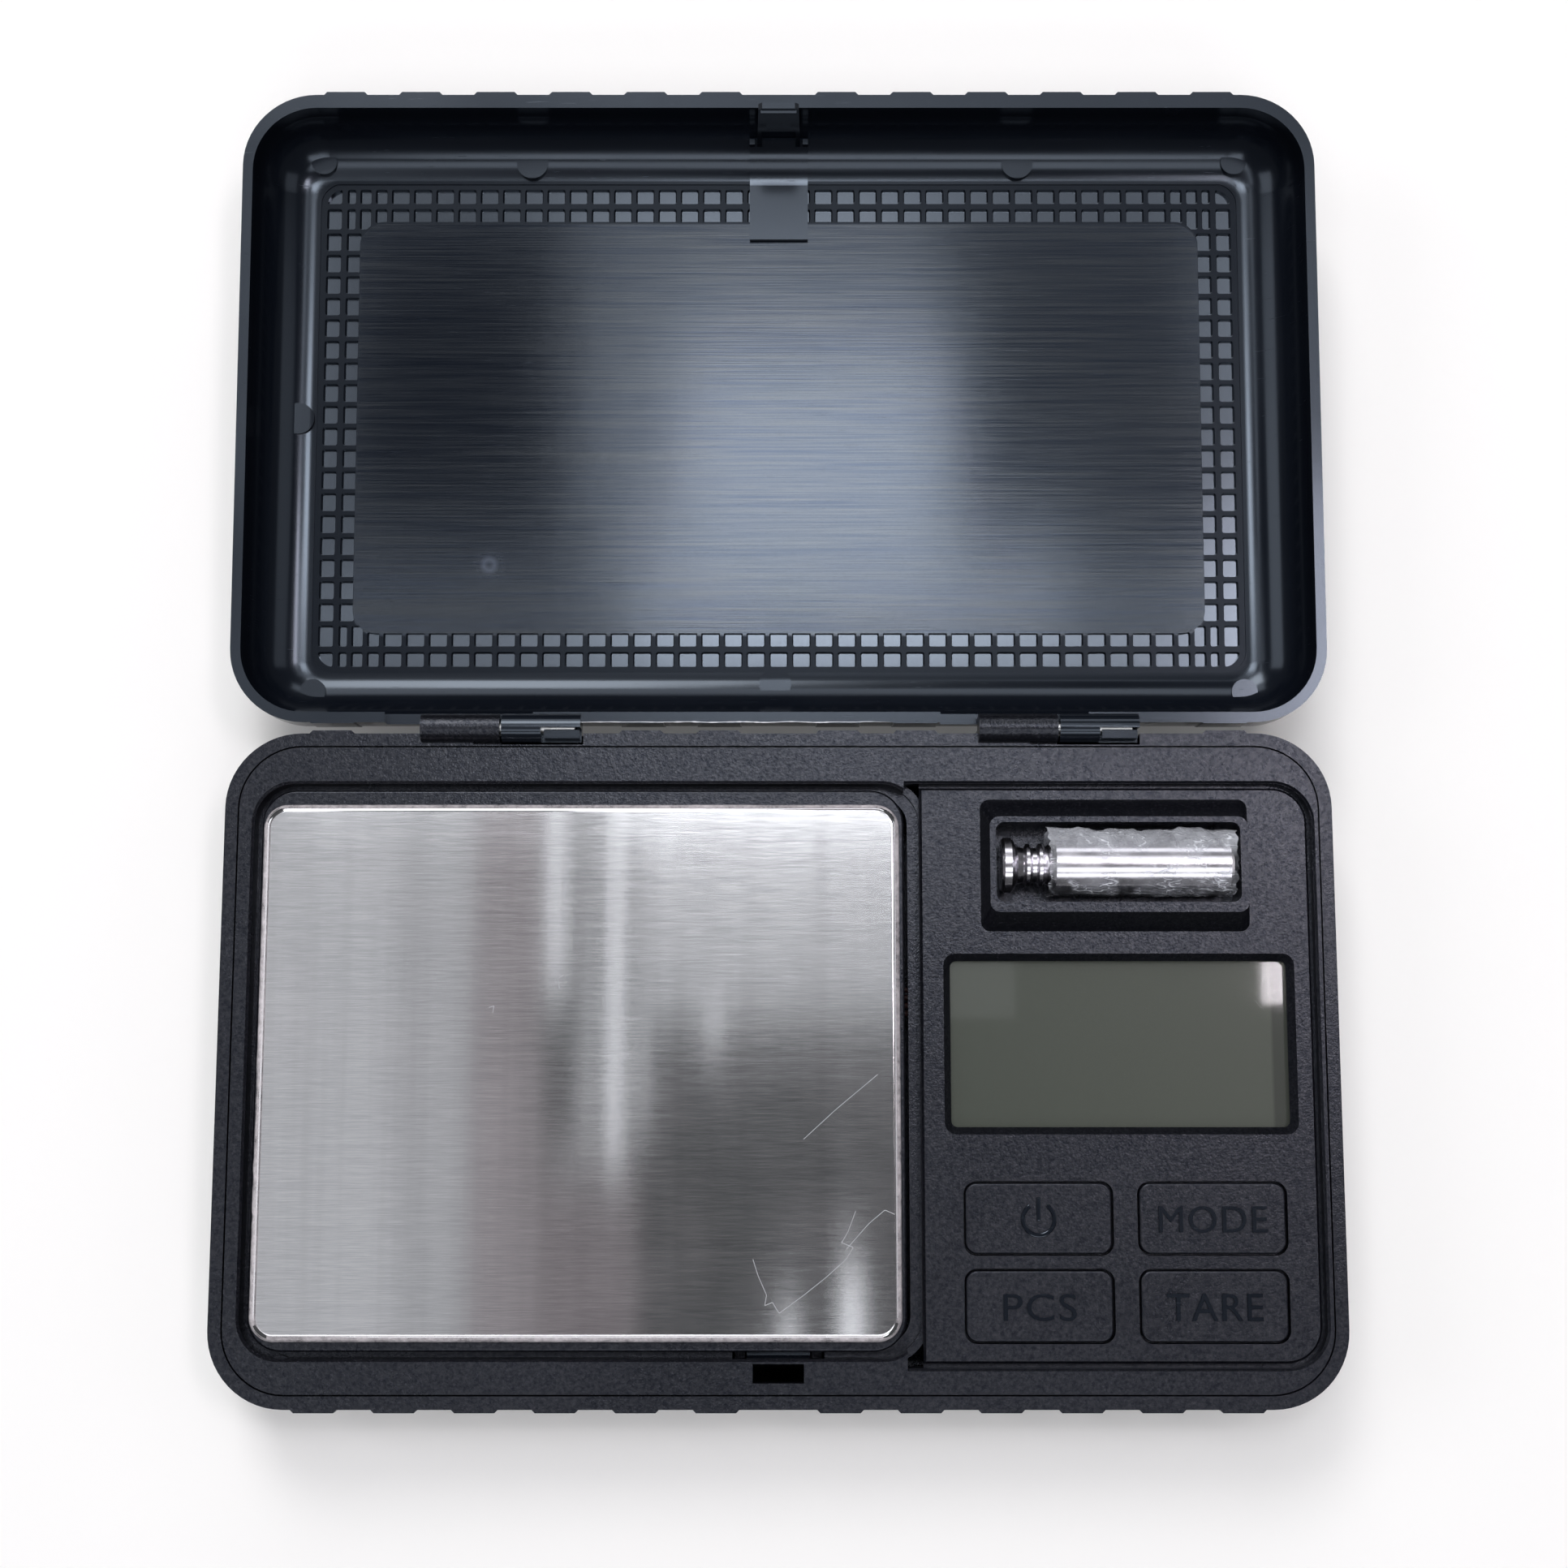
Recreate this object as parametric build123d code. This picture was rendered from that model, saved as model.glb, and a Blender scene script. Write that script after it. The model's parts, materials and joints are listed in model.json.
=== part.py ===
"""A pocket digital gram scale with a hinged lid, two AAA cells and a stored calibration weight.

Millimetres. The origin is the middle of the base's flat underside, +Z is up and +Y points to the
hinge. The lid stands open, a little past level with the base, on its hinge stop.
"""

from build123d import *
import math
import os

# ---- Base case ----
CASE_WIDTH = 140.0
CASE_DEPTH = 83.6
CASE_CORNER = 9.5
CASE_LOWER_EDGE = 4.0
RIM_Z = 16.0
WALL = 2.2
FLOOR_Z = WALL

# ---- Top cover, let into the case's rim ----
COVER_BAND = 1.6
SEAM = 0.2
COVER_CORNER = 8.0
COVER_THICKNESS = 1.8
PANEL_DROP = 0.8
PANEL_Z = RIM_Z - PANEL_DROP
PANEL_UNDER = PANEL_Z - COVER_THICKNESS
COVER_UNDER = RIM_Z - COVER_THICKNESS
WELL_LEFT = -66.3
WELL_FRONT = -35.8
WELL_BACK = 35.4
WELL_CORNER = 5.0
PANEL_RIGHT = 67.45
PANEL_FRONT = -36.9
EDGE_BREAK = 0.3
GROOVE = 0.5
SKIRT = 1.0
SKIRT_UNDER = 11.2
LIP_TOP = 13.1
LIP = 0.8
LIP_REACH = 1.5

# ---- Weighing platform ----
CARRIER_LEFT = -65.4
CARRIER_RIGHT = 15.85
CARRIER_FRONT = -35.0
CARRIER_BACK = 34.6
CARRIER_CORNER = 4.2
CARRIER_THICKNESS = 1.5
CARRIER_SKIRT = 1.95
CARRIER_SKIRT_INSET = 1.4
CARRIER_WALL = 1.2
CHANNEL_RIGHT = 17.87
PAN_LEFT = -64.75
PAN_RIGHT = 15.1
PAN_FRONT = -33.6
PAN_BACK = 32.5
PAN_CORNER = 2.9
PAN_SHEET = 0.5
PAN_BEND = 0.9
PAN_TOP = RIM_Z + 1.3
FILM = 0.1
PLATFORM_TRAVEL = 0.4

# ---- Display ----
LCD_LEFT = 21.6
LCD_RIGHT = 63.9
LCD_FRONT = -7.7
LCD_BACK = 13.0
LCD_BEVEL = 0.9
LCD_DEPTH = 1.0
WINDOW_LAP = 1.0
WINDOW_THICKNESS = 0.8
GLASS_THICKNESS = 1.7
GLASS_LAP = 1.6

# ---- Circuit board ----
BOARD_Z = 8.0
BOARD_THICKNESS = 1.0
BOARD_TOP = BOARD_Z + BOARD_THICKNESS
BOARD_LEFT = 20.2
BOARD_RIGHT = 65.6
BOARD_FRONT = -34.5
BOARD_BACK = 15.6

# ---- Keys ----
KEY_WIDTH = 18.1
KEY_DEPTH = 8.6
KEY_CORNER = 1.4
KEY_GAP = 0.25
KEY_COLUMNS = (32.2, 53.75)
KEY_ROWS = (-18.85, -29.5)
KEY_NAMES = (("key_power", "key_mode"), ("key_pcs", "key_tare"))
KEY_FLANGE_Z = 12.6
KEY_FLANGE_TOP = 13.3
KEY_FLANGE_LAP = 0.6
KEY_STEM_RADIUS = 1.6
KEY_STEM_Z = 10.6
SWITCH_SIDE = 6.0
SWITCH_TOP = 11.9
SWITCH_WELL_RADIUS = 1.8
SWITCH_WELL_Z = 9.9

# ---- Calibration weight in its raised pocket ----
WEIGHT_RADIUS = 3.65
WEIGHT_X = 28.0
WEIGHT_LENGTH = 28.9
WEIGHT_Y = 24.95
WEIGHT_Z = RIM_Z
WRAP = 0.1
BEZEL_FOOT = (25.5, 59.4, 16.6, 33.5)
BEZEL_TOP = (26.5, 58.8, 18.9, 30.9)
BEZEL_HEIGHT = 3.0
POCKET = (27.25, 57.9, 20.15, 30.2)
POCKET_CORNER = 1.1
POCKET_FLOOR_Z = 12.1
POCKET_WALL = 1.0

# ---- Hinge ----
HINGE_Y = 42.46
HINGE_Z = RIM_Z + 0.1
BARREL_RADIUS = 1.85
HINGE_CLEAR = 0.25
PIN_RADIUS = 0.75
PIN_RUNNING = 0.05
KNUCKLE_LENGTH = 10.0
KNUCKLE_GAP = 0.25
HINGE_STARTS = (-45.3, 25.4)
RECESS_OFFSET = 6.5
LUG_OFFSET = 5.0
LUG_GAP = 0.35
LUG = (-1.4, -0.35, -0.7, 1.0)
STOP_REACH = 0.5
STOP_HEIGHT = 1.4
STOP_GAP = 0.03
ARM_OFFSET = 3.8
PIN_INSET = 0.8
LID_RAISED = 1.8

# ---- Lid, drawn level with the base and then raised about the hinge ----
LID_NEAR = HINGE_Y + 0.78
LID_FAR = HINGE_Y + 83.76
LID_INNER_NEAR = HINGE_Y + 2.1
LID_INNER_FAR = HINGE_Y + 82.0
LID_INNER_X = 68.7
LID_INNER_CORNER = 8.2
LID_DEPTH = 11.4
LID_INSIDE_DEPTH = 9.9
LID_EDGE = 8.0
LID_INNER_EDGE = 7.0
LID_FLOOR_Z = RIM_Z - LID_INSIDE_DEPTH
FIELD_STEP = 0.15
FIELD_MARGIN = 0.8
FIELD_Z = LID_FLOOR_Z - FIELD_STEP

# ---- Round pads left by the mould in the lid's inner edges: (x, distance from hinge, radius, rise)
EJECTOR_PADS = (
    (-33.2, 78.0, 2.1, 0.9), (32.1, 78.0, 2.1, 0.9), (-64.0, 42.9, 2.1, 0.6), (-0.45, 7.1, 2.1, 0.6),
    (-61.2, 78.1, 1.7, 1.1), (61.2, 78.1, 1.7, 1.1), (-61.2, 6.0, 1.7, 1.1), (61.2, 6.0, 1.7, 1.1),
)

# ---- Grid moulded round the lid's floor ----
GRID_X = 60.9
GRID_NEAR = HINGE_Y + 9.5
GRID_FAR = HINGE_Y + 74.7
GRID_CORNER = 2.2
PLATEAU_INSET = 4.5
PLATEAU_CORNER = 3.2
ROW_CELL = 2.0
ROW_WEB = 0.7
CELL_PITCH = 3.0
CELL_WEB = 0.55
CELL_DEPTH = 0.6
CELL_CORNER = 0.35
CELL_DRAFT = 0.16
CORNER_COLUMNS = (2.0, 1.15, 1.55, 1.6)
CORNER_ROWS = (2.0, 2.84)

# ---- Grip ribs on front and rear walls ----
RIB_FIRST = 7.6
RIB_PITCH = 9.83
RIB_COUNT = 6
RIB_LENGTH = 5.7
RIB_PROUD = 0.4
RIB_PROUD_AT_GAP = 0.12

# ---- Lid clip and release button ----
SLOT_X = 3.15
SLOT_FRONT = -38.67
SLOT_BACK = -36.35
SLOT_CATCH = -36.6
CLIP_BAND_X = 3.9
CLIP_BAND_NEAR = HINGE_Y + 67.5
CLIP_BAND_FAR = HINGE_Y + 80.4
CLIP_SHEET = 0.6
CLIP_EAR = 0.7
CLIP_EAR_RISE = 1.3
CLIP_FIT = 0.02
CLIP_BLADE_X = 2.95
CLIP_BLADE_NEAR = HINGE_Y + 79.6
CLIP_BLADE = 0.8
CLIP_TIP_X = 2.6
CLIP_TIP_Z = RIM_Z + 5.5
CLIP_BAR_Z = RIM_Z - 2.1
CLIP_LEG = 0.7
CLIP_BARB = 0.45
CLIP_BARB_X = 2.3
CLIP_BARB_RISE = (4.4, 5.1)
CLIP_RIB_X = 1.62
CLIP_RIB_RISE = (-0.7, 0.2)
CLIP_RIB = 0.4
BUTTON_X = 3.9
BUTTON_LOW = 8.6
BUTTON_HIGH = 12.6
BUTTON_PROUD = 0.4
BUTTON_GAP = 0.2
BUTTON_PLAY = 0.3
CATCH_THICKNESS = 0.7
BUTTON_REAR = -34.6
BUTTON_SPRING_Z = 10.9
GUIDE_REAR = -30.0
GUIDE_WALL = 1.2

# ---- Cells and their door ----
CELL_RADIUS = 5.25
CELL_LENGTH = 44.5
CELL_NUB = 1.0
CELL_NUB_RADIUS = 1.9
CELL_ROWS = (-31.3, -20.5)
CELL_Z = 7.5
CONTACT = 0.4
BAY = (-57.5, -8.6, -37.2, -14.9)
BAY_WALL = 1.2
BAY_WALL_TOP = 11.0
DOOR = (-56.5, -9.6, -42.6, -15.9)
DOOR_WRAP_Z = 4.8
DOOR_CLEAR = 0.15
TONGUE = 1.0
TONGUE_THICKNESS = 0.7
DOOR_GRIP_COUNT = 5
DOOR_GRIP_PITCH = 2.0
DOOR_GRIP_DEPTH = 0.4

# ---- Load cell ----
BEAM_LENGTH = 47.0
BEAM_WIDTH = 12.0
BEAM_HEIGHT = 6.4
BEAM_Z = 5.2
BEAM_X = -48.4
BEAM_Y = -0.5
BEAM_HOLE_RADIUS = 2.2
BEAM_SCREW_RADIUS = 1.25
BEAM_SCREW_STEPS = (4.0, 11.0)
BEAM_PAD = 14.0
WIRE_RADIUS = 0.35
WIRE_PITCH = 1.0

# ---- Fasteners and feet ----
CASE_SCREWS = ((-61.3, -37.3), (61.3, -37.3), (-61.3, 37.3), (61.3, 37.3))
SCREW_RADIUS = 1.1
SCREW_HEAD_RADIUS = 2.0
SCREW_HEAD = 1.2
SCREW_PLAY = 0.15
CASE_SCREW_SEAT = 3.2
BEAM_SCREW_SEAT = 2.6
FOOT_RADIUS = 3.4
FOOT_THICKNESS = 1.2
POST_RADIUS = 1.8
BURY = 0.2
FOOT_X = 62.2
FOOT_Y = 31.2


# ---------------------------------------------------------------- helpers

def block(x0, x1, y0, y1, z0, z1):
    """A box between two corners."""
    return Pos((x0 + x1) / 2, (y0 + y1) / 2, (z0 + z1) / 2) * Box(x1 - x0, y1 - y0, z1 - z0)


def rounded_block(x0, x1, y0, y1, z0, z1, corner, lower_edge=0.0, upper_edge=0.0):
    """A box with rounded upright corners and, if asked, rounded lower or upper edges."""
    solid = extrude(RectangleRounded(x1 - x0, y1 - y0, corner), z1 - z0)
    solid = Pos((x0 + x1) / 2, (y0 + y1) / 2, z0) * solid
    if lower_edge:
        solid = fillet(solid.edges().group_by(Axis.Z)[0], lower_edge)
    if upper_edge:
        solid = fillet(solid.edges().group_by(Axis.Z)[-1], upper_edge)
    return solid


def post(x, y, z0, z1, radius):
    """An upright cylinder."""
    return Pos(x, y, (z0 + z1) / 2) * Cylinder(radius, z1 - z0)


def bar_x(x0, x1, y, z, radius):
    """A cylinder along X."""
    return Pos((x0 + x1) / 2, y, z) * Rot(0, 90, 0) * Cylinder(radius, x1 - x0)


def bar_y(x, y0, y1, z, radius):
    """A cylinder along Y."""
    return Pos(x, (y0 + y1) / 2, z) * Rot(90, 0, 0) * Cylinder(radius, y1 - y0)


def ring_x(x0, x1, y, z, outer, inner):
    """A tube along X."""
    return bar_x(x0, x1, y, z, outer) - bar_x(x0 - 1, x1 + 1, y, z, inner)


def grown(box, by):
    """The plan box (x0, x1, y0, y1) made larger by the same amount on all sides."""
    x0, x1, y0, y1 = box
    return x0 - by, x1 + by, y0 - by, y1 + by


def raised_lid(solid):
    """Turns a piece drawn in the level lid to the angle at which the lid stands open."""
    hinge = Axis((0, HINGE_Y, HINGE_Z), (1, 0, 0))
    return solid.rotate(hinge, LID_RAISED)


def rib_centres():
    """X of the middle of every grip rib."""
    right = [RIB_FIRST + RIB_PITCH * i for i in range(RIB_COUNT)]
    return [-x for x in reversed(right)] + right


def grip_ribs(front, back, low, high, lower_edge, front_centres, back_centres, front_proud):
    """Low ribs on the front and rear walls that follow the wall's rounded lower edge."""
    half = CASE_WIDTH / 2
    skin = rounded_block(
        -half, half, front - front_proud, back + RIB_PROUD, low, high, CASE_CORNER, lower_edge
    )
    slabs = [rib_slab(x, front, -1, low, high) for x in front_centres]
    slabs += [rib_slab(x, back, 1, low, high) for x in back_centres]
    return skin & Compound(slabs)


def centres_clear_of_hinges(margin):
    """The ribs that are at least the margin away from every hinge."""
    spans = [(span[0] - margin, span[3] + margin) for span in hinge_spans()]
    return [x for x in rib_centres() if not any(a < x < b for a, b in spans)]


def rib_slab(x, wall, outward, low, high):
    """One rib's plan, a bar with sloping ends, through the wall's whole height."""
    half = RIB_LENGTH / 2
    inside = wall - outward * 1.5
    outside = wall + outward * RIB_PROUD
    points = [
        (x - half, inside),
        (x - half, wall),
        (x - half + RIB_PROUD, outside),
        (x + half - RIB_PROUD, outside),
        (x + half, wall),
        (x + half, inside),
    ]
    plan = make_face(Polyline(*points, close=True))
    return Pos(0, 0, low) * extrude(plan, high - low, dir=(0, 0, 1))


def hinge_spans():
    """For each hinge: start of the base knuckle, end of it, start and end of the lid knuckle."""
    spans = []
    for start in HINGE_STARTS:
        end = start + KNUCKLE_LENGTH
        spans.append((start, end, end + KNUCKLE_GAP, end + KNUCKLE_GAP + KNUCKLE_LENGTH))
    return spans


def coil_spring(radius, wire, turns, length):
    """A compression spring along +Z from the origin, its ends ground flat."""
    path = Helix(length / turns, length, radius)
    section = Plane(path @ 0, z_dir=path % 0) * Circle(wire / 2)
    coil = sweep(section, path, is_frenet=True)
    return coil & Cylinder(radius + wire, length, align=(Align.CENTER, Align.CENTER, Align.MIN))


# ---------------------------------------------------------------- base case

def case_outside():
    """The case's solid outer form with its grip ribs."""
    half_x = CASE_WIDTH / 2
    half_y = CASE_DEPTH / 2
    body = rounded_block(-half_x, half_x, -half_y, half_y, 0, RIM_Z, CASE_CORNER, CASE_LOWER_EDGE)
    return body + grip_ribs(
        -half_y, half_y, 0, RIM_Z, CASE_LOWER_EDGE, rib_centres(), centres_clear_of_hinges(3.0),
        RIB_PROUD
    )


def case_cavity():
    """The hollow inside the case, with the shallow step that the top cover rests in."""
    x = CASE_WIDTH / 2
    y = CASE_DEPTH / 2
    hollow = rounded_block(
        -x + WALL, x - WALL, -y + WALL, y - WALL, FLOOR_Z, RIM_Z + 1,
        CASE_CORNER - WALL, CASE_LOWER_EDGE - WALL + 0.4
    )
    step = rounded_block(
        -x + COVER_BAND, x - COVER_BAND, -y + COVER_BAND, y - COVER_BAND,
        COVER_UNDER, RIM_Z + 1, COVER_CORNER
    )
    return hollow + step


def battery_door_form(clear, tongue_front):
    """The door's outline through floor and front wall, larger by the clearance."""
    x0, x1, y0, y1 = DOOR
    c = clear
    plate = block(x0 - c, x1 + c, y0, y1 + c, 0, FLOOR_Z)
    wrap = block(x0 - c, x1 + c, y0, -CASE_DEPTH / 2 + WALL, 0, DOOR_WRAP_Z + c)
    tongues = block(
        x0 - TONGUE - c, x1 + TONGUE + c, tongue_front, y1 + c,
        FLOOR_Z - TONGUE_THICKNESS - c, FLOOR_Z
    )
    return plate + wrap + tongues


def bottom_case():
    """The lower shell: walls, floor, battery bay, bosses, base knuckles and hinge stops."""
    case = case_outside() - case_cavity()
    case += battery_bay_walls()
    case += screw_posts()
    case += beam_pad()
    case += board_posts()
    case += overload_stops()
    case += button_guides()
    case += hinge_blocks()
    case -= battery_door_form(DOOR_CLEAR, DOOR[2])
    case -= beam_screw_holes_below()
    case -= screw_post_holes()
    case -= foot_seats()
    case -= button_hole()
    case -= hinge_recesses()
    case += base_knuckles()
    case -= hinge_pin_bores()
    return case


def battery_bay_walls():
    """Thin walls round the two cells, and the low saddles that they lie in."""
    x0, x1, y0, y1 = BAY
    w = BAY_WALL
    walls = block(x0 - w, x1 + w, y0 - w, y1 + w, FLOOR_Z, BAY_WALL_TOP)
    walls -= block(x0, x1, y0, y1, FLOOR_Z - 1, BAY_WALL_TOP + 1)
    return walls


def screw_posts():
    """Short posts that the case screws pass through."""
    return [post(x, y, FLOOR_Z - BURY, 5.0, SCREW_HEAD_RADIUS + 0.3) for x, y in CASE_SCREWS]


def screw_post_holes():
    """Through holes with sunk seats for the screw heads."""
    holes = []
    for x, y in CASE_SCREWS:
        holes.append(post(x, y, 0, 6, SCREW_RADIUS + SCREW_PLAY))
        holes.append(post(x, y, 0, CASE_SCREW_SEAT, SCREW_HEAD_RADIUS + SCREW_PLAY))
    return holes


def beam_pad():
    """The pad that carries the fixed end of the load cell."""
    return block(BEAM_X - 1, BEAM_X + BEAM_PAD, BEAM_Y - 7, BEAM_Y + 7, FLOOR_Z - BURY, BEAM_Z)


def beam_screw_places(end):
    """X of the two screws at the fixed end (0) or the moving end (1) of the load cell."""
    if end == 0:
        return [BEAM_X + step for step in BEAM_SCREW_STEPS]
    return [BEAM_X + BEAM_LENGTH - step for step in BEAM_SCREW_STEPS]


def beam_screw_holes_below():
    """Holes through the floor for the load cell's screws, with sunk seats for their heads."""
    holes = []
    for x in beam_screw_places(0):
        holes.append(post(x, BEAM_Y, 0, BEAM_Z + 1, BEAM_SCREW_RADIUS + SCREW_PLAY))
        holes.append(post(x, BEAM_Y, 0, BEAM_SCREW_SEAT, 2.4))
    return holes


def board_post_places():
    """(x, y) of the board's four posts."""
    return [
        (BOARD_LEFT + 2.5, BOARD_FRONT + 2.5), (BOARD_RIGHT - 2.5, BOARD_FRONT + 2.5),
        (BOARD_LEFT + 2.5, BOARD_BACK - 2.0), (BOARD_RIGHT - 2.5, BOARD_BACK - 2.0),
    ]


def board_posts():
    """The drilled posts that the board stands on."""
    posts = []
    for x, y in board_post_places():
        drilled = post(x, y, FLOOR_Z - BURY, BOARD_Z, 2.0) - post(x, y, 4, BOARD_Z + 1, 0.8)
        posts.append(drilled)
    return posts


def overload_stops():
    """Four posts just under the platform that save the load cell from being overbent."""
    top = PANEL_Z - CARRIER_THICKNESS - PLATFORM_TRAVEL - 0.1
    places = [(-60, 28), (10, 28), (-60, -10), (10, -28)]
    return [post(x, y, FLOOR_Z - BURY, top, POST_RADIUS) for x, y in places]


def foot_places():
    """(x, y) of the four feet."""
    return [(sx * FOOT_X, sy * FOOT_Y) for sx in (-1, 1) for sy in (-1, 1)]


def foot_seats():
    """Round seats for the feet."""
    return [post(x, y, 0, FOOT_THICKNESS, FOOT_RADIUS + 0.1) for x, y in foot_places()]


def button_guides():
    """Two rails and a rear wall that guide the release button and back its spring."""
    y = -CASE_DEPTH / 2 + WALL - BURY
    inner = BUTTON_X + BUTTON_PLAY
    outer = inner + GUIDE_WALL
    low = FLOOR_Z - BURY
    top = BUTTON_HIGH - CATCH_THICKNESS - 0.6
    left = block(-outer, -inner, y, GUIDE_REAR + GUIDE_WALL, low, top)
    right = block(inner, outer, y, GUIDE_REAR + GUIDE_WALL, low, top)
    rear = block(-outer, outer, GUIDE_REAR, GUIDE_REAR + GUIDE_WALL, low, BUTTON_HIGH - 0.4)
    return left + right + rear


def button_hole():
    y = -CASE_DEPTH / 2
    x = BUTTON_X + BUTTON_GAP
    return block(-x, x, y - 2, y + WALL + 0.3, BUTTON_LOW - BUTTON_GAP, BUTTON_HIGH + BUTTON_GAP)


def hinge_blocks():
    """Thicker wall behind each hinge."""
    back = CASE_DEPTH / 2
    return [
        block(s[0] + RECESS_OFFSET, s[3] + 1.2, back - WALL - 1.2, back - 1, 9, COVER_UNDER - 0.1)
        for s in hinge_spans()
    ]


def hinge_recesses():
    """Room in the rear wall for the lid's knuckles."""
    recesses = []
    reach = BARREL_RADIUS + HINGE_CLEAR
    for base_start, base_end, lid_start, lid_end in hinge_spans():
        x0 = base_start + RECESS_OFFSET
        x1 = lid_end + HINGE_CLEAR
        recesses.append(bar_x(x0, x1, HINGE_Y, HINGE_Z, reach))
        recesses.append(block(x0, x1, HINGE_Y - reach, HINGE_Y + 1, HINGE_Z, HINGE_Z + 2))
    return recesses


def arm_start(lid_start):
    """X where the arm that joins a lid knuckle to the lid begins."""
    return lid_start + ARM_OFFSET


def base_knuckles():
    """The base's hinge barrels, each on a leg, and the ledges that the lid's arms come to rest on."""
    pieces = []
    root = CASE_DEPTH / 2 - 1.4
    under = HINGE_Z - BARREL_RADIUS
    for base_start, base_end, lid_start, lid_end in hinge_spans():
        pieces.append(bar_x(base_start, base_end, HINGE_Y, HINGE_Z, BARREL_RADIUS))
        pieces.append(block(base_start, base_end, root, HINGE_Y, under, HINGE_Z - 0.6))
        shoulder = base_start + RECESS_OFFSET
        pieces.append(block(base_start, shoulder, root, HINGE_Y, RIM_Z - 4, RIM_Z))
        pieces.append(
            block(arm_start(lid_start) + 0.4, lid_end - 0.3, root, HINGE_Y + STOP_REACH,
                  under - STOP_HEIGHT, under - STOP_GAP)
        )
    return pieces


def hinge_pin_bores():
    """The pins' bores in the base's knuckles."""
    return [bar_x(s[0] + PIN_INSET, s[1] + 1, HINGE_Y, HINGE_Z, PIN_RADIUS) for s in hinge_spans()]


def hinge_pin(span):
    """A steel pin pressed into the base knuckle and free in the lid knuckle."""
    return bar_x(span[0] + PIN_INSET, span[3] - PIN_INSET, HINGE_Y, HINGE_Z, PIN_RADIUS)


def foot_pads():
    """Four rubber discs let in level with the underside."""
    return [post(x, y, 0, FOOT_THICKNESS, FOOT_RADIUS) for x, y in foot_places()]


def battery_door():
    """The door under the cells, which wraps round the front edge and slides out forwards."""
    x0, x1, y0, y1 = DOOR
    door = case_outside() & battery_door_form(0, y0 + 4)
    middle = (x0 + x1) / 2
    for i in range(DOOR_GRIP_COUNT):
        y = y0 + 8 + i * DOOR_GRIP_PITCH
        door -= block(middle - 9, middle + 9, y, y + DOOR_GRIP_PITCH / 2, 0, DOOR_GRIP_DEPTH)
    return door


# ---------------------------------------------------------------- top cover

def top_cover():
    """The frame, the control panel and the raised pocket for the weight, in one moulding."""
    x = CASE_WIDTH / 2 - COVER_BAND - SEAM
    y = CASE_DEPTH / 2 - COVER_BAND - SEAM
    cover = rounded_block(-x, x, -y, y, COVER_UNDER, RIM_Z, COVER_CORNER - SEAM)
    cover += cover_skirt()
    cover -= inner_opening()
    cover += cover_skirt_below()
    cover += control_panel()
    cover += screw_bosses()
    cover += weight_bezel()
    cover -= weight_pocket()
    cover += weight_pocket_wall()
    cover -= lcd_opening()
    cover -= key_openings()
    cover -= latch_slot()
    cover -= screw_boss_holes()
    cover -= latch_room()
    return cover


def cover_skirt():
    """The ring round the inner opening before the opening is cut."""
    right = CASE_WIDTH / 2 - WALL - 0.1
    return rounded_block(
        WELL_LEFT - SKIRT, right, PANEL_FRONT - SKIRT, WELL_BACK + SKIRT, PANEL_UNDER, RIM_Z,
        WELL_CORNER + SKIRT
    )


def well_block(grow, low, high):
    """The platform's well, made larger all round."""
    return rounded_block(
        WELL_LEFT - grow, CHANNEL_RIGHT + grow, WELL_FRONT - grow, WELL_BACK + grow, low, high,
        WELL_CORNER + grow
    )


def panel_block(grow, low, high):
    """The control panel's outline, made larger all round and cut off level at its left end."""
    left = CARRIER_RIGHT
    panel = rounded_block(
        left - 2 * WELL_CORNER, PANEL_RIGHT + grow, PANEL_FRONT - grow, WELL_BACK + grow,
        low, high, WELL_CORNER + grow
    )
    return panel - block(left - 20, left, -CASE_DEPTH, CASE_DEPTH, low - 1, high + 1)


def inner_opening():
    """The large opening in the frame, its upper edge broken by a chamfer."""
    low = PANEL_UNDER - 1
    cut = well_block(0, low, RIM_Z) + panel_block(0, low, RIM_Z)
    for shape in (well_block, panel_block):
        mouth = shape(EDGE_BREAK, RIM_Z - EDGE_BREAK, RIM_Z)
        cut += chamfer(mouth.edges().group_by(Axis.Z)[0], EDGE_BREAK - 0.01)
    left_end = block(
        CARRIER_RIGHT - 3, CHANNEL_RIGHT, WELL_FRONT + 1, WELL_BACK - 1, low, RIM_Z
    )
    return cut + left_end


def cover_skirt_below():
    """The wall that hangs down round the platform's well, and the lip under the carrier's edge."""
    wall = well_block(SKIRT, SKIRT_UNDER, PANEL_UNDER + 0.1)
    wall -= well_block(0, SKIRT_UNDER - 1, PANEL_UNDER + 1)
    lip = well_block(0.1, LIP_TOP - LIP, LIP_TOP)
    lip -= well_block(-LIP_REACH, LIP_TOP - LIP - 1, LIP_TOP + 1)
    return wall + lip


def control_panel():
    """The panel, a step lower than the frame, with a groove between the two."""
    web = panel_block(0.15, PANEL_UNDER, COVER_UNDER)
    face = panel_block(-GROOVE, PANEL_UNDER, PANEL_Z)
    web -= block(-CASE_WIDTH, CHANNEL_RIGHT, -CASE_DEPTH, CASE_DEPTH, 0, RIM_Z)
    face -= block(-CASE_WIDTH, CHANNEL_RIGHT, -CASE_DEPTH, CASE_DEPTH, 0, RIM_Z)
    face = chamfer(face.edges().group_by(Axis.Z)[-1], 0.3)
    return web + face


def screw_bosses():
    """Bosses under the cover that the case screws bite into."""
    return [post(x, y, 5.0, COVER_UNDER + 0.2, 1.8) for x, y in CASE_SCREWS]


def screw_boss_holes():
    """The bosses' blind holes."""
    return [post(x, y, 4, 13, SCREW_RADIUS) for x, y in CASE_SCREWS]


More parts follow.
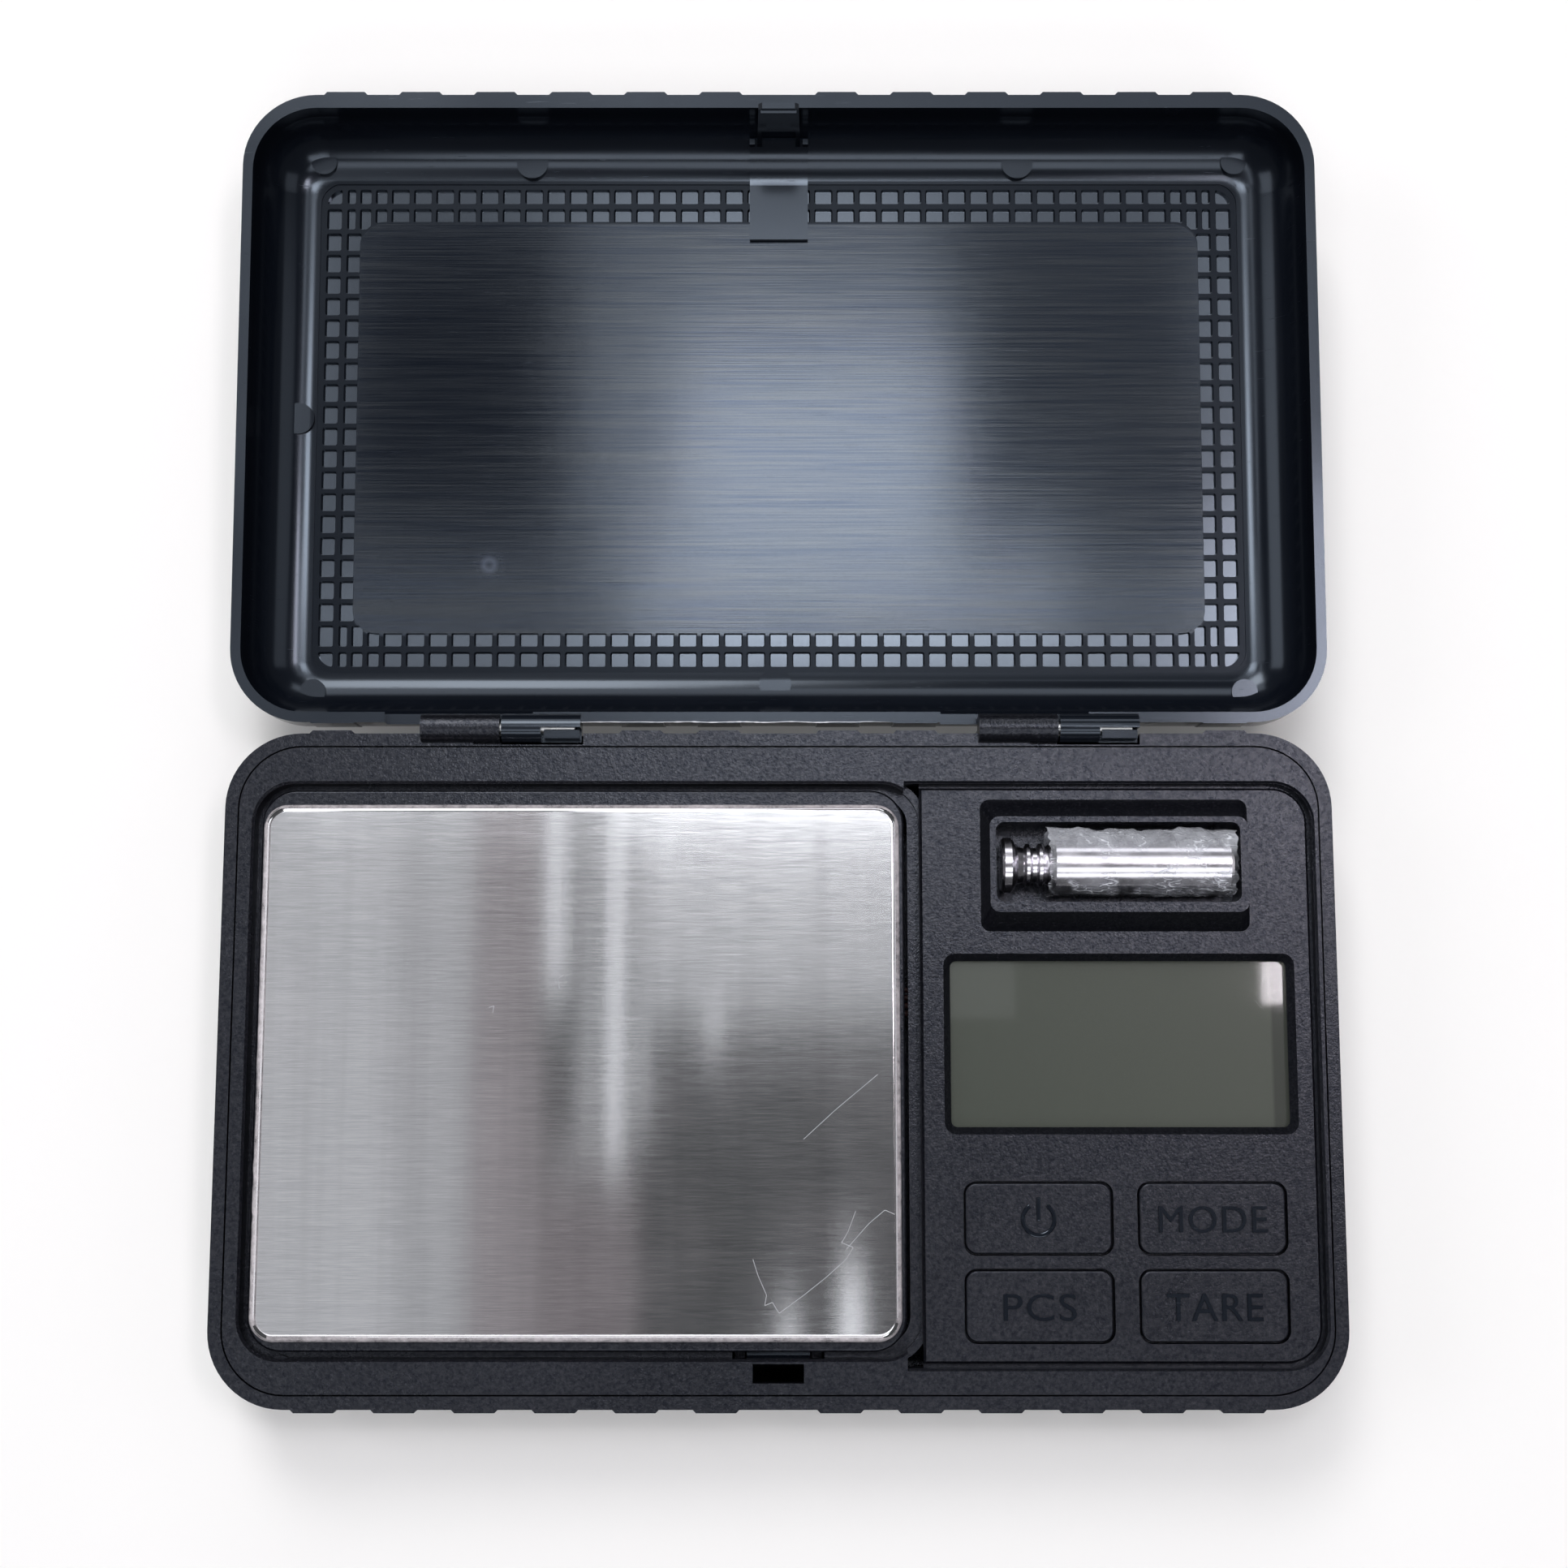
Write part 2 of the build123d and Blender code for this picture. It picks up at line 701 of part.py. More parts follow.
def weight_bezel():
    """The raised surround of the weight: sloping sides and a flat top."""
    x0, x1, y0, y1 = BEZEL_FOOT
    foot = Pos((x0 + x1) / 2, (y0 + y1) / 2, PANEL_Z - 0.1) * RectangleRounded(x1 - x0, y1 - y0, 1.2)
    x0, x1, y0, y1 = BEZEL_TOP
    top_z = PANEL_Z + BEZEL_HEIGHT
    top = Pos((x0 + x1) / 2, (y0 + y1) / 2, top_z) * RectangleRounded(x1 - x0, y1 - y0, 1.2)
    return loft([foot, top])


def weight_pocket():
    """The pocket's hollow, open at the top of its raised surround."""
    x0, x1, y0, y1 = POCKET
    return rounded_block(x0, x1, y0, y1, POCKET_FLOOR_Z, PANEL_Z + BEZEL_HEIGHT + 1, POCKET_CORNER)


def weight_pocket_wall():
    """The pocket's walls and floor below the panel."""
    x0, x1, y0, y1 = grown(POCKET, POCKET_WALL)
    w = POCKET_WALL
    box = rounded_block(x0, x1, y0, y1, POCKET_FLOOR_Z - w, PANEL_UNDER + 0.2, POCKET_CORNER + w)
    return box - weight_pocket()


def lcd_opening():
    """The display's opening: a bevelled rim above, a step for the window below."""
    z = PANEL_Z - LCD_DEPTH
    b = LCD_BEVEL
    low = Pos((LCD_LEFT + LCD_RIGHT) / 2, (LCD_FRONT + LCD_BACK) / 2, z)
    low *= RectangleRounded(LCD_RIGHT - LCD_LEFT, LCD_BACK - LCD_FRONT, 0.8)
    high = Pos((LCD_LEFT + LCD_RIGHT) / 2, (LCD_FRONT + LCD_BACK) / 2, PANEL_Z + 0.01)
    high *= RectangleRounded(LCD_RIGHT - LCD_LEFT + 2 * b, LCD_BACK - LCD_FRONT + 2 * b, 1.5)
    lap = WINDOW_LAP
    seat = block(
        LCD_LEFT - lap, LCD_RIGHT + lap, LCD_FRONT - lap, LCD_BACK + lap, PANEL_UNDER - 1, z
    )
    return loft([low, high]) + seat


def key_places():
    """(name, x, y) of each key."""
    places = []
    for row, y in enumerate(KEY_ROWS):
        for column, x in enumerate(KEY_COLUMNS):
            places.append((KEY_NAMES[row][column], x, y))
    return places


def key_openings():
    """Openings in the panel, a little larger than the keys."""
    cuts = []
    w = KEY_WIDTH + 2 * KEY_GAP
    d = KEY_DEPTH + 2 * KEY_GAP
    for name, x, y in key_places():
        cuts.append(
            rounded_block(x - w / 2, x + w / 2, y - d / 2, y + d / 2,
                          PANEL_UNDER - 1, PANEL_Z + 1, KEY_CORNER + KEY_GAP)
        )
    return cuts


def latch_slot():
    """The slot in the front of the frame that the lid's clip enters."""
    return block(-SLOT_X, SLOT_X, SLOT_FRONT, SLOT_BACK, 9, RIM_Z + 1)


def latch_room():
    """Room under the slot for the release button."""
    x = BUTTON_X + BUTTON_PLAY + GUIDE_WALL + 0.3
    return block(-x, x, -CASE_DEPTH, WELL_FRONT + LIP_REACH + 0.1, 0, COVER_UNDER)


def lcd_window():
    """The clear window bonded under the panel."""
    lap = WINDOW_LAP - 0.1
    z = PANEL_Z - LCD_DEPTH
    return block(
        LCD_LEFT - lap, LCD_RIGHT + lap, LCD_FRONT - lap, LCD_BACK + lap, z - WINDOW_THICKNESS, z
    )


def lcd_glass():
    """The display glass on its light guide."""
    lap = GLASS_LAP
    top = PANEL_Z - LCD_DEPTH - WINDOW_THICKNESS - 0.2
    return block(
        LCD_LEFT - lap, LCD_RIGHT + lap, LCD_FRONT - lap - 1.0, LCD_BACK + lap,
        top - GLASS_THICKNESS, top
    )


def glass_under():
    return PANEL_Z - LCD_DEPTH - WINDOW_THICKNESS - 0.2 - GLASS_THICKNESS


def lcd_light_guide():
    """The white light guide between the display glass and the board."""
    return block(
        LCD_LEFT, LCD_RIGHT, LCD_FRONT + 1.2, LCD_BACK - 1.2, BOARD_TOP, glass_under()
    )


def contact_strip():
    """The rubber strip that joins the board's pads to the display glass."""
    return block(
        LCD_LEFT + 1, LCD_RIGHT - 1, LCD_FRONT - 2.2, LCD_FRONT - 0.2, BOARD_TOP, glass_under()
    )


def circuit_board():
    board = block(BOARD_LEFT, BOARD_RIGHT, BOARD_FRONT, BOARD_BACK, BOARD_Z, BOARD_TOP)
    return board - [post(x, y, 0, RIM_Z, 0.95) for x, y in board_post_places()]


def board_screws():
    """Four small screws that hold the board to its posts."""
    screws = []
    for x, y in board_post_places():
        screws.append(post(x, y, 4.6, BOARD_TOP, 0.8) + post(x, y, BOARD_TOP, BOARD_TOP + 0.9, 1.5))
    return screws


def controller_chip():
    """The bonded chip's round cover under the board."""
    dome = Pos(43, -2, BOARD_Z) * Cone(3.0, 4.5, 1.2, align=(Align.CENTER, Align.CENTER, Align.MAX))
    return dome


def tact_switches():
    """One square switch on the board under each key."""
    half = SWITCH_SIDE / 2
    switches = []
    for name, x, y in key_places():
        body = block(x - half, x + half, y - half, y + half, BOARD_TOP, SWITCH_TOP)
        switches.append(body - post(x, y, SWITCH_WELL_Z, SWITCH_TOP + 1, SWITCH_WELL_RADIUS))
    return switches


def key(x, y):
    """A key: the cap seen in the panel, a flange that keeps it in, and the stem that presses."""
    w = KEY_WIDTH / 2
    d = KEY_DEPTH / 2
    lap = KEY_FLANGE_LAP
    cap = rounded_block(
        x - w, x + w, y - d, y + d, KEY_FLANGE_TOP - 0.1, PANEL_Z, KEY_CORNER, upper_edge=0.25
    )
    flange = block(x - w - lap, x + w + lap, y - d - lap, y + d + lap, KEY_FLANGE_Z, KEY_FLANGE_TOP)
    return cap + flange + post(x, y, KEY_STEM_Z, KEY_FLANGE_Z + 0.1, KEY_STEM_RADIUS)


# ---------------------------------------------------------------- weighing platform

def pan_carrier():
    """The plastic tray under the pan, with the pad that sits on the load cell's moving end."""
    low = PANEL_Z - CARRIER_THICKNESS
    tray = rounded_block(
        CARRIER_LEFT, CARRIER_RIGHT, CARRIER_FRONT, CARRIER_BACK, low, PANEL_Z, CARRIER_CORNER,
        upper_edge=0.35
    )
    tray += carrier_block(CARRIER_SKIRT_INSET, PANEL_Z - CARRIER_SKIRT, low + BURY)
    tray -= carrier_block(CARRIER_SKIRT_INSET + CARRIER_WALL, 0, low)
    x1 = BEAM_X + BEAM_LENGTH
    tray += block(
        x1 - BEAM_PAD, x1, BEAM_Y - 6, BEAM_Y + 6, BEAM_Z + BEAM_HEIGHT + 0.02, low + 0.1
    )
    for x in beam_screw_places(1):
        tray -= post(x, BEAM_Y, 0, RIM_Z, BEAM_SCREW_RADIUS)
    return tray


def carrier_block(inset, low, high):
    """The carrier's outline made smaller all round."""
    return rounded_block(
        CARRIER_LEFT + inset, CARRIER_RIGHT - inset, CARRIER_FRONT + inset, CARRIER_BACK - inset,
        low, high, CARRIER_CORNER - inset
    )


def pan_form(grow, low, top):
    """The pan's outer form: rounded corners and a soft bend round the top."""
    return rounded_block(
        PAN_LEFT - grow, PAN_RIGHT + grow, PAN_FRONT - grow, PAN_BACK + grow, low, top + grow,
        PAN_CORNER + grow, upper_edge=PAN_BEND + grow
    )


def weighing_pan():
    """The folded steel pan."""
    inside = pan_form(-PAN_SHEET, PANEL_Z - 1, PAN_TOP)
    return pan_form(0, PANEL_Z + 0.05, PAN_TOP) - inside


def pan_film():
    """The clear protective film over the pan."""
    return pan_form(FILM, PANEL_Z + 0.3, PAN_TOP) - pan_form(0, PANEL_Z, PAN_TOP)


def foam_tapes():
    """Two strips of foam tape that bond the pan to its carrier."""
    top = PAN_TOP - PAN_SHEET
    return [block(-58, 8, y - 5, y + 5, PANEL_Z, top) for y in (-20, 20)]


def carrier_screws():
    """Two screws through the carrier into the load cell's moving end."""
    screws = []
    for x in beam_screw_places(1):
        head = post(x, BEAM_Y, PANEL_Z, PANEL_Z + 1.0, 2.2)
        screws.append(head + post(x, BEAM_Y, BEAM_Z + 1.5, PANEL_Z, BEAM_SCREW_RADIUS))
    return screws


def load_cell():
    """The aluminium bending beam, drilled and slotted at its middle."""
    x1 = BEAM_X + BEAM_LENGTH
    y0 = BEAM_Y - BEAM_WIDTH / 2
    y1 = BEAM_Y + BEAM_WIDTH / 2
    beam = block(BEAM_X, x1, y0, y1, BEAM_Z, BEAM_Z + BEAM_HEIGHT)
    middle = (BEAM_X + x1) / 2
    z = BEAM_Z + BEAM_HEIGHT / 2
    for x in (middle - 3.5, middle + 3.5):
        beam -= bar_y(x, y0 - 1, y1 + 1, z, BEAM_HOLE_RADIUS)
    beam -= block(middle - 3.5, middle + 3.5, y0 - 1, y1 + 1, z - 0.8, z + 0.8)
    for x in beam_screw_places(0):
        beam -= post(x, BEAM_Y, 0, RIM_Z, BEAM_SCREW_RADIUS)
    for x in beam_screw_places(1):
        beam -= post(x, BEAM_Y, 0, RIM_Z, BEAM_SCREW_RADIUS + 0.05)
    return beam


def load_cell_screws():
    """Two screws up through the floor into the load cell's fixed end."""
    screws = []
    for x in beam_screw_places(0):
        shank = post(x, BEAM_Y, BEAM_SCREW_SEAT, BEAM_Z + BEAM_HEIGHT - 1, BEAM_SCREW_RADIUS)
        head = post(x, BEAM_Y, BEAM_SCREW_SEAT - SCREW_HEAD, BEAM_SCREW_SEAT, 2.2)
        screws.append(shank + head)
    return screws


def load_cell_wires():
    """Four thin leads from the load cell to the board."""
    wires = []
    for i in range(4):
        y = BEAM_Y + BEAM_WIDTH / 2 + 1.2 + i * WIRE_PITCH
        z = BOARD_Z - 0.6
        x = BEAM_X + BEAM_LENGTH / 2
        start = (x - 6 - i * WIRE_PITCH, BEAM_Y + BEAM_WIDTH / 2, z)
        path = FilletPolyline(start, (start[0], y, z), (BOARD_LEFT + 3, y, z), radius=0.6)
        wires.append(sweep(Plane(path @ 0, z_dir=path % 0) * Circle(WIRE_RADIUS), path))
    return wires


def case_screws():
    """Four screws up through the floor into the cover's bosses."""
    screws = []
    for x, y in CASE_SCREWS:
        head = post(x, y, CASE_SCREW_SEAT - SCREW_HEAD, CASE_SCREW_SEAT, SCREW_HEAD_RADIUS)
        screws.append(head + post(x, y, CASE_SCREW_SEAT, 12.5, SCREW_RADIUS))
    return screws


# ---------------------------------------------------------------- cells

def cell_start(row):
    """X of the cell's left end: each cell's nub touches its contact plate."""
    if row == 0:
        return BAY[1] - CONTACT - CELL_LENGTH
    return BAY[0] + CONTACT


def aaa_cell(row):
    """One AAA cell along X; the front one's nub points right, the rear one's left."""
    y = CELL_ROWS[row]
    x0 = cell_start(row)
    x1 = x0 + CELL_LENGTH
    middle = (x0 + x1) / 2
    n = CELL_NUB
    body = bar_x(x0, x1 - n, y, CELL_Z, CELL_RADIUS)
    nub = bar_x(middle, x1, y, CELL_Z, CELL_NUB_RADIUS)
    if row == 1:
        body = bar_x(x0 + n, x1, y, CELL_Z, CELL_RADIUS)
        nub = bar_x(x0, middle, y, CELL_Z, CELL_NUB_RADIUS)
    return body + nub


def contact_springs():
    """The coil springs that press on the cells' flat ends."""
    springs = []
    left = BAY[0] + CONTACT
    length = cell_start(0) - left
    spring = coil_spring(2.6, 0.6, 3, length)
    springs.append(Pos(left, CELL_ROWS[0], CELL_Z) * Rot(0, 90, 0) * spring)
    right = BAY[1] - CONTACT - length
    springs.append(Pos(right, CELL_ROWS[1], CELL_Z) * Rot(0, 90, 0) * spring)
    return springs


def cell_contacts():
    """Plated steel contacts: one for each cell on the right, one bridge on the left."""
    x0, x1, y0, y1 = BAY
    z0 = CELL_Z - 3.6
    z1 = CELL_Z + 3.6
    plates = [block(x1 - CONTACT, x1, y - 4.2, y + 4.2, z0, z1) for y in CELL_ROWS]
    plates.append(block(x0, x0 + CONTACT, CELL_ROWS[0] - 4.2, CELL_ROWS[1] + 4.2, z0, z1))
    return plates


# ---------------------------------------------------------------- weight

def weight_profile():
    """(distance along the weight, radius): knob, neck with two beads, shoulder and body."""
    r = WEIGHT_RADIUS
    knob = [(0, r - 0.5), (0.3, r - 0.15), (1.2, r - 0.15), (1.6, r - 0.6)]
    neck = [(2.0, 2.4), (2.8, 2.2), (3.1, 2.75), (3.5, 2.75), (3.9, 2.2), (4.4, 2.2)]
    shoulder = [(4.7, 2.75), (5.1, 2.75), (5.5, 2.3), (5.9, 2.6), (6.4, r - 0.25)]
    body = [(6.7, r), (WEIGHT_LENGTH - 0.4, r), (WEIGHT_LENGTH, r - 0.4)]
    return knob + neck + shoulder + body


def calibration_weight():
    """The plated steel weight that lies in the pocket."""
    outline = [(0, 0)] + weight_profile() + [(WEIGHT_LENGTH, 0)]
    half = make_face(Polyline(*outline, close=True))
    return Pos(WEIGHT_X, WEIGHT_Y, WEIGHT_Z) * revolve(half, Axis.X)


def weight_wrap():
    """The thin clear sleeve round the weight's body."""
    r = WEIGHT_RADIUS + 0.02
    x0 = WEIGHT_X + 6.8
    x1 = WEIGHT_X + WEIGHT_LENGTH
    return ring_x(x0, x1, WEIGHT_Y, WEIGHT_Z, r + WRAP, r)


# ---------------------------------------------------------------- release button

def release_button():
    """The button: a domed face, a plate with the catch window, and a rear wall for the spring."""
    front = -CASE_DEPTH / 2
    dome_radius = 20.0
    dome = post(0, front - BUTTON_PROUD + dome_radius, BUTTON_LOW, BUTTON_HIGH, dome_radius)
    face = dome & block(-BUTTON_X, BUTTON_X, front - 1, front + 1.6, BUTTON_LOW, BUTTON_HIGH)
    plate = block(
        -BUTTON_X, BUTTON_X, front + 1.4, BUTTON_REAR, BUTTON_HIGH - CATCH_THICKNESS, BUTTON_HIGH
    )
    window = block(
        -SLOT_X, SLOT_X, front + 1.6, SLOT_CATCH, BUTTON_HIGH - CATCH_THICKNESS - 1, BUTTON_HIGH + 1
    )
    rear = block(-BUTTON_X, BUTTON_X, BUTTON_REAR - 0.9, BUTTON_REAR, BUTTON_LOW, BUTTON_HIGH)
    return face + (plate - window) + rear


def release_spring():
    """The coil spring between the button and its guide."""
    spring = coil_spring(1.5, 0.35, 5, GUIDE_REAR - BUTTON_REAR)
    return Pos(0, BUTTON_REAR, BUTTON_SPRING_Z) * Rot(-90, 0, 0) * spring


# ---------------------------------------------------------------- lid

def lid_shell():
    """The lid: walls, floor, grid, ribs and knuckles, drawn level and then raised."""
    half = CASE_WIDTH / 2
    low = RIM_Z - LID_DEPTH
    lid = rounded_block(-half, half, LID_NEAR, LID_FAR, low, RIM_Z, CASE_CORNER, LID_EDGE)
    lid += grip_ribs(
        LID_NEAR, LID_FAR, low, RIM_Z, LID_EDGE, centres_clear_of_hinges(3.0), rib_centres(),
        RIB_PROUD_AT_GAP
    )
    lid -= lid_cavity(0)
    lid += ejector_pads()
    lid -= lid_field()
    lid -= grid_pockets()
    lid -= knuckle_notches()
    lid += lid_knuckles()
    lid -= lid_pin_bores()
    return raised_lid(lid)


def lid_cavity(inset):
    """The hollow of the lid, made smaller all round by the inset."""
    i = inset
    return rounded_block(
        -LID_INNER_X + i, LID_INNER_X - i, LID_INNER_NEAR + i, LID_INNER_FAR - i,
        LID_FLOOR_Z + i, RIM_Z + 1, LID_INNER_CORNER - i, LID_INNER_EDGE - i
    )


def lid_field():
    """The very shallow step in the floor that the grid and the plateau lie in."""
    m = FIELD_MARGIN
    return rounded_block(
        -GRID_X - m, GRID_X + m, GRID_NEAR - m, GRID_FAR + m, FIELD_Z, LID_FLOOR_Z + 0.01,
        GRID_CORNER + m
    )


def ejector_pads():
    """Flat round pads that stand a little out of the hollow's rounded edge."""
    pads = []
    for x, reach, radius, rise in EJECTOR_PADS:
        pads.append(post(x, HINGE_Y + reach, LID_FLOOR_Z - 0.5, LID_FLOOR_Z + rise, radius))
    return pads


def knuckle_notches():
    """Room in the lid's near wall for the base's knuckles."""
    return [
        block(s[0] - 4.8, s[2] + 3.8, HINGE_Y, LID_INNER_NEAR + 0.5,
              HINGE_Z - BARREL_RADIUS - HINGE_CLEAR, RIM_Z + 1)
        for s in hinge_spans()
    ]


def lid_knuckles():
    """The lid's hinge barrels, each joined to the lid by an arm, with a lug in a notch in front."""
    pieces = []
    y = HINGE_Y
    z = HINGE_Z
    for base_start, base_end, lid_start, lid_end in hinge_spans():
        barrel = bar_x(lid_start, lid_end, y, z, BARREL_RADIUS)
        notch = lid_start + LUG_OFFSET
        barrel -= block(notch, lid_end + 1, y - 4, y - 0.1, z - 0.5, z + 4)
        y0, y1, z0, z1 = LUG
        barrel += block(notch + LUG_GAP, lid_end - LUG_GAP / 2, y + y0, y + y1, z + z0, z + z1)
        arm = block(arm_start(lid_start), lid_end, y, LID_NEAR + 0.6, z - BARREL_RADIUS, RIM_Z - 0.2)
        pieces.append(barrel + arm)
    return pieces


def lid_pin_bores():
    """The pins' running bores in the lid's knuckles."""
    radius = PIN_RADIUS + PIN_RUNNING
    return [bar_x(s[2] - 1, s[3] - PIN_INSET + 0.2, HINGE_Y, HINGE_Z, radius) for s in hinge_spans()]


def side_steps(length, corner_cells):
    """(start, length) of each cell along one side: set ones at the corners, equal ones between."""
    steps = []
    at = 0.0
    for cell in corner_cells:
        steps.append((at, cell))
        at += cell + (ROW_WEB if not steps[1:] else CELL_WEB)
    middle = length - 2 * at
    count = round((middle + CELL_WEB) / CELL_PITCH)
    pitch = (middle + CELL_WEB) / count
    equal = [(at + i * pitch, pitch - CELL_WEB) for i in range(count)]
    mirrored = [(length - start - cell, cell) for start, cell in reversed(steps)]
    return steps + equal + mirrored


def grid_cells():
    """The plan (x0, x1, y0, y1) of every cell, measured from the grid's near left corner."""
    width = 2 * GRID_X
    depth = GRID_FAR - GRID_NEAR
    columns = side_steps(width, CORNER_COLUMNS)
    rows = side_steps(depth, CORNER_ROWS)
    inner = ROW_CELL + ROW_WEB
    cells = []
    for i, (x, w) in enumerate(columns):
        edge = min(i, len(columns) - 1 - i)
        reach = CORNER_ROWS[1] if edge in (1, 2) else ROW_CELL
        cells.append((x, x + w, 0, ROW_CELL))
        cells.append((x, x + w, depth - ROW_CELL, depth))
        if edge > 0:
            cells.append((x, x + w, inner, inner + reach))
            cells.append((x, x + w, depth - inner - reach, depth - inner))
    for i, (y, h) in enumerate(rows):
        edge = min(i, len(rows) - 1 - i)
        if edge > 0:
            cells.append((0, ROW_CELL, y, y + h))
            cells.append((width - ROW_CELL, width, y, y + h))
        if edge > 1:
            cells.append((inner, inner + ROW_CELL, y, y + h))
            cells.append((width - inner - ROW_CELL, width - inner, y, y + h))
    return cells


def grid_pockets():
    """The cells, trimmed to the rounded band between the grid's edge and the plateau."""
    low = FIELD_Z - CELL_DEPTH
    high = FIELD_Z + 0.3
    slope = math.degrees(math.atan(CELL_DRAFT / CELL_DEPTH))
    pockets = []
    for x0, x1, y0, y1 in grid_cells():
        width = x1 - x0 - 2 * CELL_DRAFT
        depth = y1 - y0 - 2 * CELL_DRAFT
        floor = RectangleRounded(width, depth, CELL_CORNER - CELL_DRAFT)
        place = Pos((x0 + x1) / 2 - GRID_X, GRID_NEAR + (y0 + y1) / 2, low)
        pockets.append(place * extrude(floor, high - low, taper=-slope))
    p = PLATEAU_INSET
    band = rounded_block(-GRID_X, GRID_X, GRID_NEAR, GRID_FAR, low, high, GRID_CORNER)
    band -= rounded_block(
        -GRID_X + p, GRID_X - p, GRID_NEAR + p, GRID_FAR - p, low - 1, high + 1, PLATEAU_CORNER
    )
    return Compound(pockets) & band


def lid_clip():
    """The clip fixed in the lid: a band on the floor and its rounded edge, and a hooked frame."""
    x = CLIP_BAND_X
    outer = lid_cavity(CLIP_FIT)
    band = outer - lid_cavity(CLIP_FIT + CLIP_SHEET)
    band &= block(-x, x, CLIP_BAND_NEAR, CLIP_BAND_FAR, 0, RIM_Z)
    for side in (-1, 1):
        ear = block(
            min(side * x, side * (x - CLIP_EAR)), max(side * x, side * (x - CLIP_EAR)),
            CLIP_BLADE_NEAR, CLIP_BAND_FAR, LID_FLOOR_Z, LID_FLOOR_Z + CLIP_EAR_RISE + 2.2
        )
        band += ear & outer
    return raised_lid(band + (clip_blade() & outer_room(outer)))


def outer_room(outer):
    """Where the clip's blade may be: in the lid's hollow and above its rim."""
    return outer + block(-20, 20, HINGE_Y + 50, LID_INNER_FAR - 0.1, RIM_Z, RIM_Z + 20)


def clip_blade():
    """The clip's upright frame: two legs, a crossbar, a rib across it and the barb that catches."""
    near = CLIP_BLADE_NEAR
    far = near + CLIP_BLADE
    outline = [
        (-CLIP_BLADE_X, LID_FLOOR_Z), (CLIP_BLADE_X, LID_FLOOR_Z),
        (CLIP_TIP_X, CLIP_TIP_Z - 0.5), (CLIP_TIP_X - 0.5, CLIP_TIP_Z),
        (-CLIP_TIP_X + 0.5, CLIP_TIP_Z), (-CLIP_TIP_X, CLIP_TIP_Z - 0.5),
    ]
    face = make_face(Plane.XZ * Polyline(*outline, close=True))
    blade = Pos(0, near, 0) * extrude(face, CLIP_BLADE, dir=(0, 1, 0))
    inside = CLIP_BLADE_X - CLIP_LEG
    blade -= block(-inside, inside, near - 1, far + 1, LID_FLOOR_Z + 2.0, CLIP_BAR_Z)
    low, high = CLIP_RIB_RISE
    blade += block(
        -CLIP_RIB_X, CLIP_RIB_X, near - CLIP_RIB, near + 0.1, RIM_Z + low, RIM_Z + high
    )
    low, high = CLIP_BARB_RISE
    blade += block(
        -CLIP_BARB_X, CLIP_BARB_X, near - CLIP_BARB, near + 0.1, RIM_Z + low, RIM_Z + high
    )
    return blade


# ---------------------------------------------------------------- the assembly

def all_nodes():
    """Every node by name. A list of solids is a group of identical pieces."""
    left, right = hinge_spans()
    nodes = {
        "bottom_case": bottom_case(),
        "top_cover": top_cover(),
        "lcd_window": lcd_window(),
        "lcd_glass": lcd_glass(),
        "lcd_light_guide": lcd_light_guide(),
        "contact_strip": contact_strip(),
        "circuit_board": circuit_board(),
        "board_screws": board_screws(),
        "controller_chip": controller_chip(),
        "tact_switches": tact_switches(),
        "load_cell": load_cell(),
        "load_cell_screws": load_cell_screws(),
        "load_cell_wires": load_cell_wires(),
        "case_screws": case_screws(),
        "foot_pads": foot_pads(),
        "hinge_pin_left": hinge_pin(left),
        "hinge_pin_right": hinge_pin(right),
        "cell_front": aaa_cell(0),
        "cell_rear": aaa_cell(1),
        "contact_springs": contact_springs(),
        "cell_contacts": cell_contacts(),
        "release_spring": release_spring(),
        "release_button": release_button(),
        "battery_door": battery_door(),
        "pan_carrier": pan_carrier(),
        "weighing_pan": weighing_pan(),
        "pan_film": pan_film(),
        "foam_tapes": foam_tapes(),
        "carrier_screws": carrier_screws(),
        "calibration_weight": calibration_weight(),
        "weight_wrap": weight_wrap(),
        "lid_shell": lid_shell(),
        "lid_clip": lid_clip(),
    }
    for name, x, y in key_places():
        nodes[name] = key(x, y)
    return nodes


def one_shape(piece):
    """A single shape to write: groups become one compound of separate solids."""
    if isinstance(piece, list):
        return Compound([solid for part in piece for solid in part.solids()])
    solids = piece.solids()
    return solids[0] if len(solids) == 1 else Compound(solids)


os.makedirs("parts", exist_ok=True)
for name, piece in all_nodes().items():
    export_step(one_shape(piece), f"parts/{name}.step")
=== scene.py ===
"""Looks for the pocket gram scale: materials, key legends, films, light and camera.

Metres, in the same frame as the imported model: the origin is the middle of the base's underside, +Z is
up and +Y points to the hinge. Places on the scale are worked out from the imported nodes' boxes and from
the hinge.
"""

import json
import math

import bpy
from mathutils import Euler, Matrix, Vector, noise


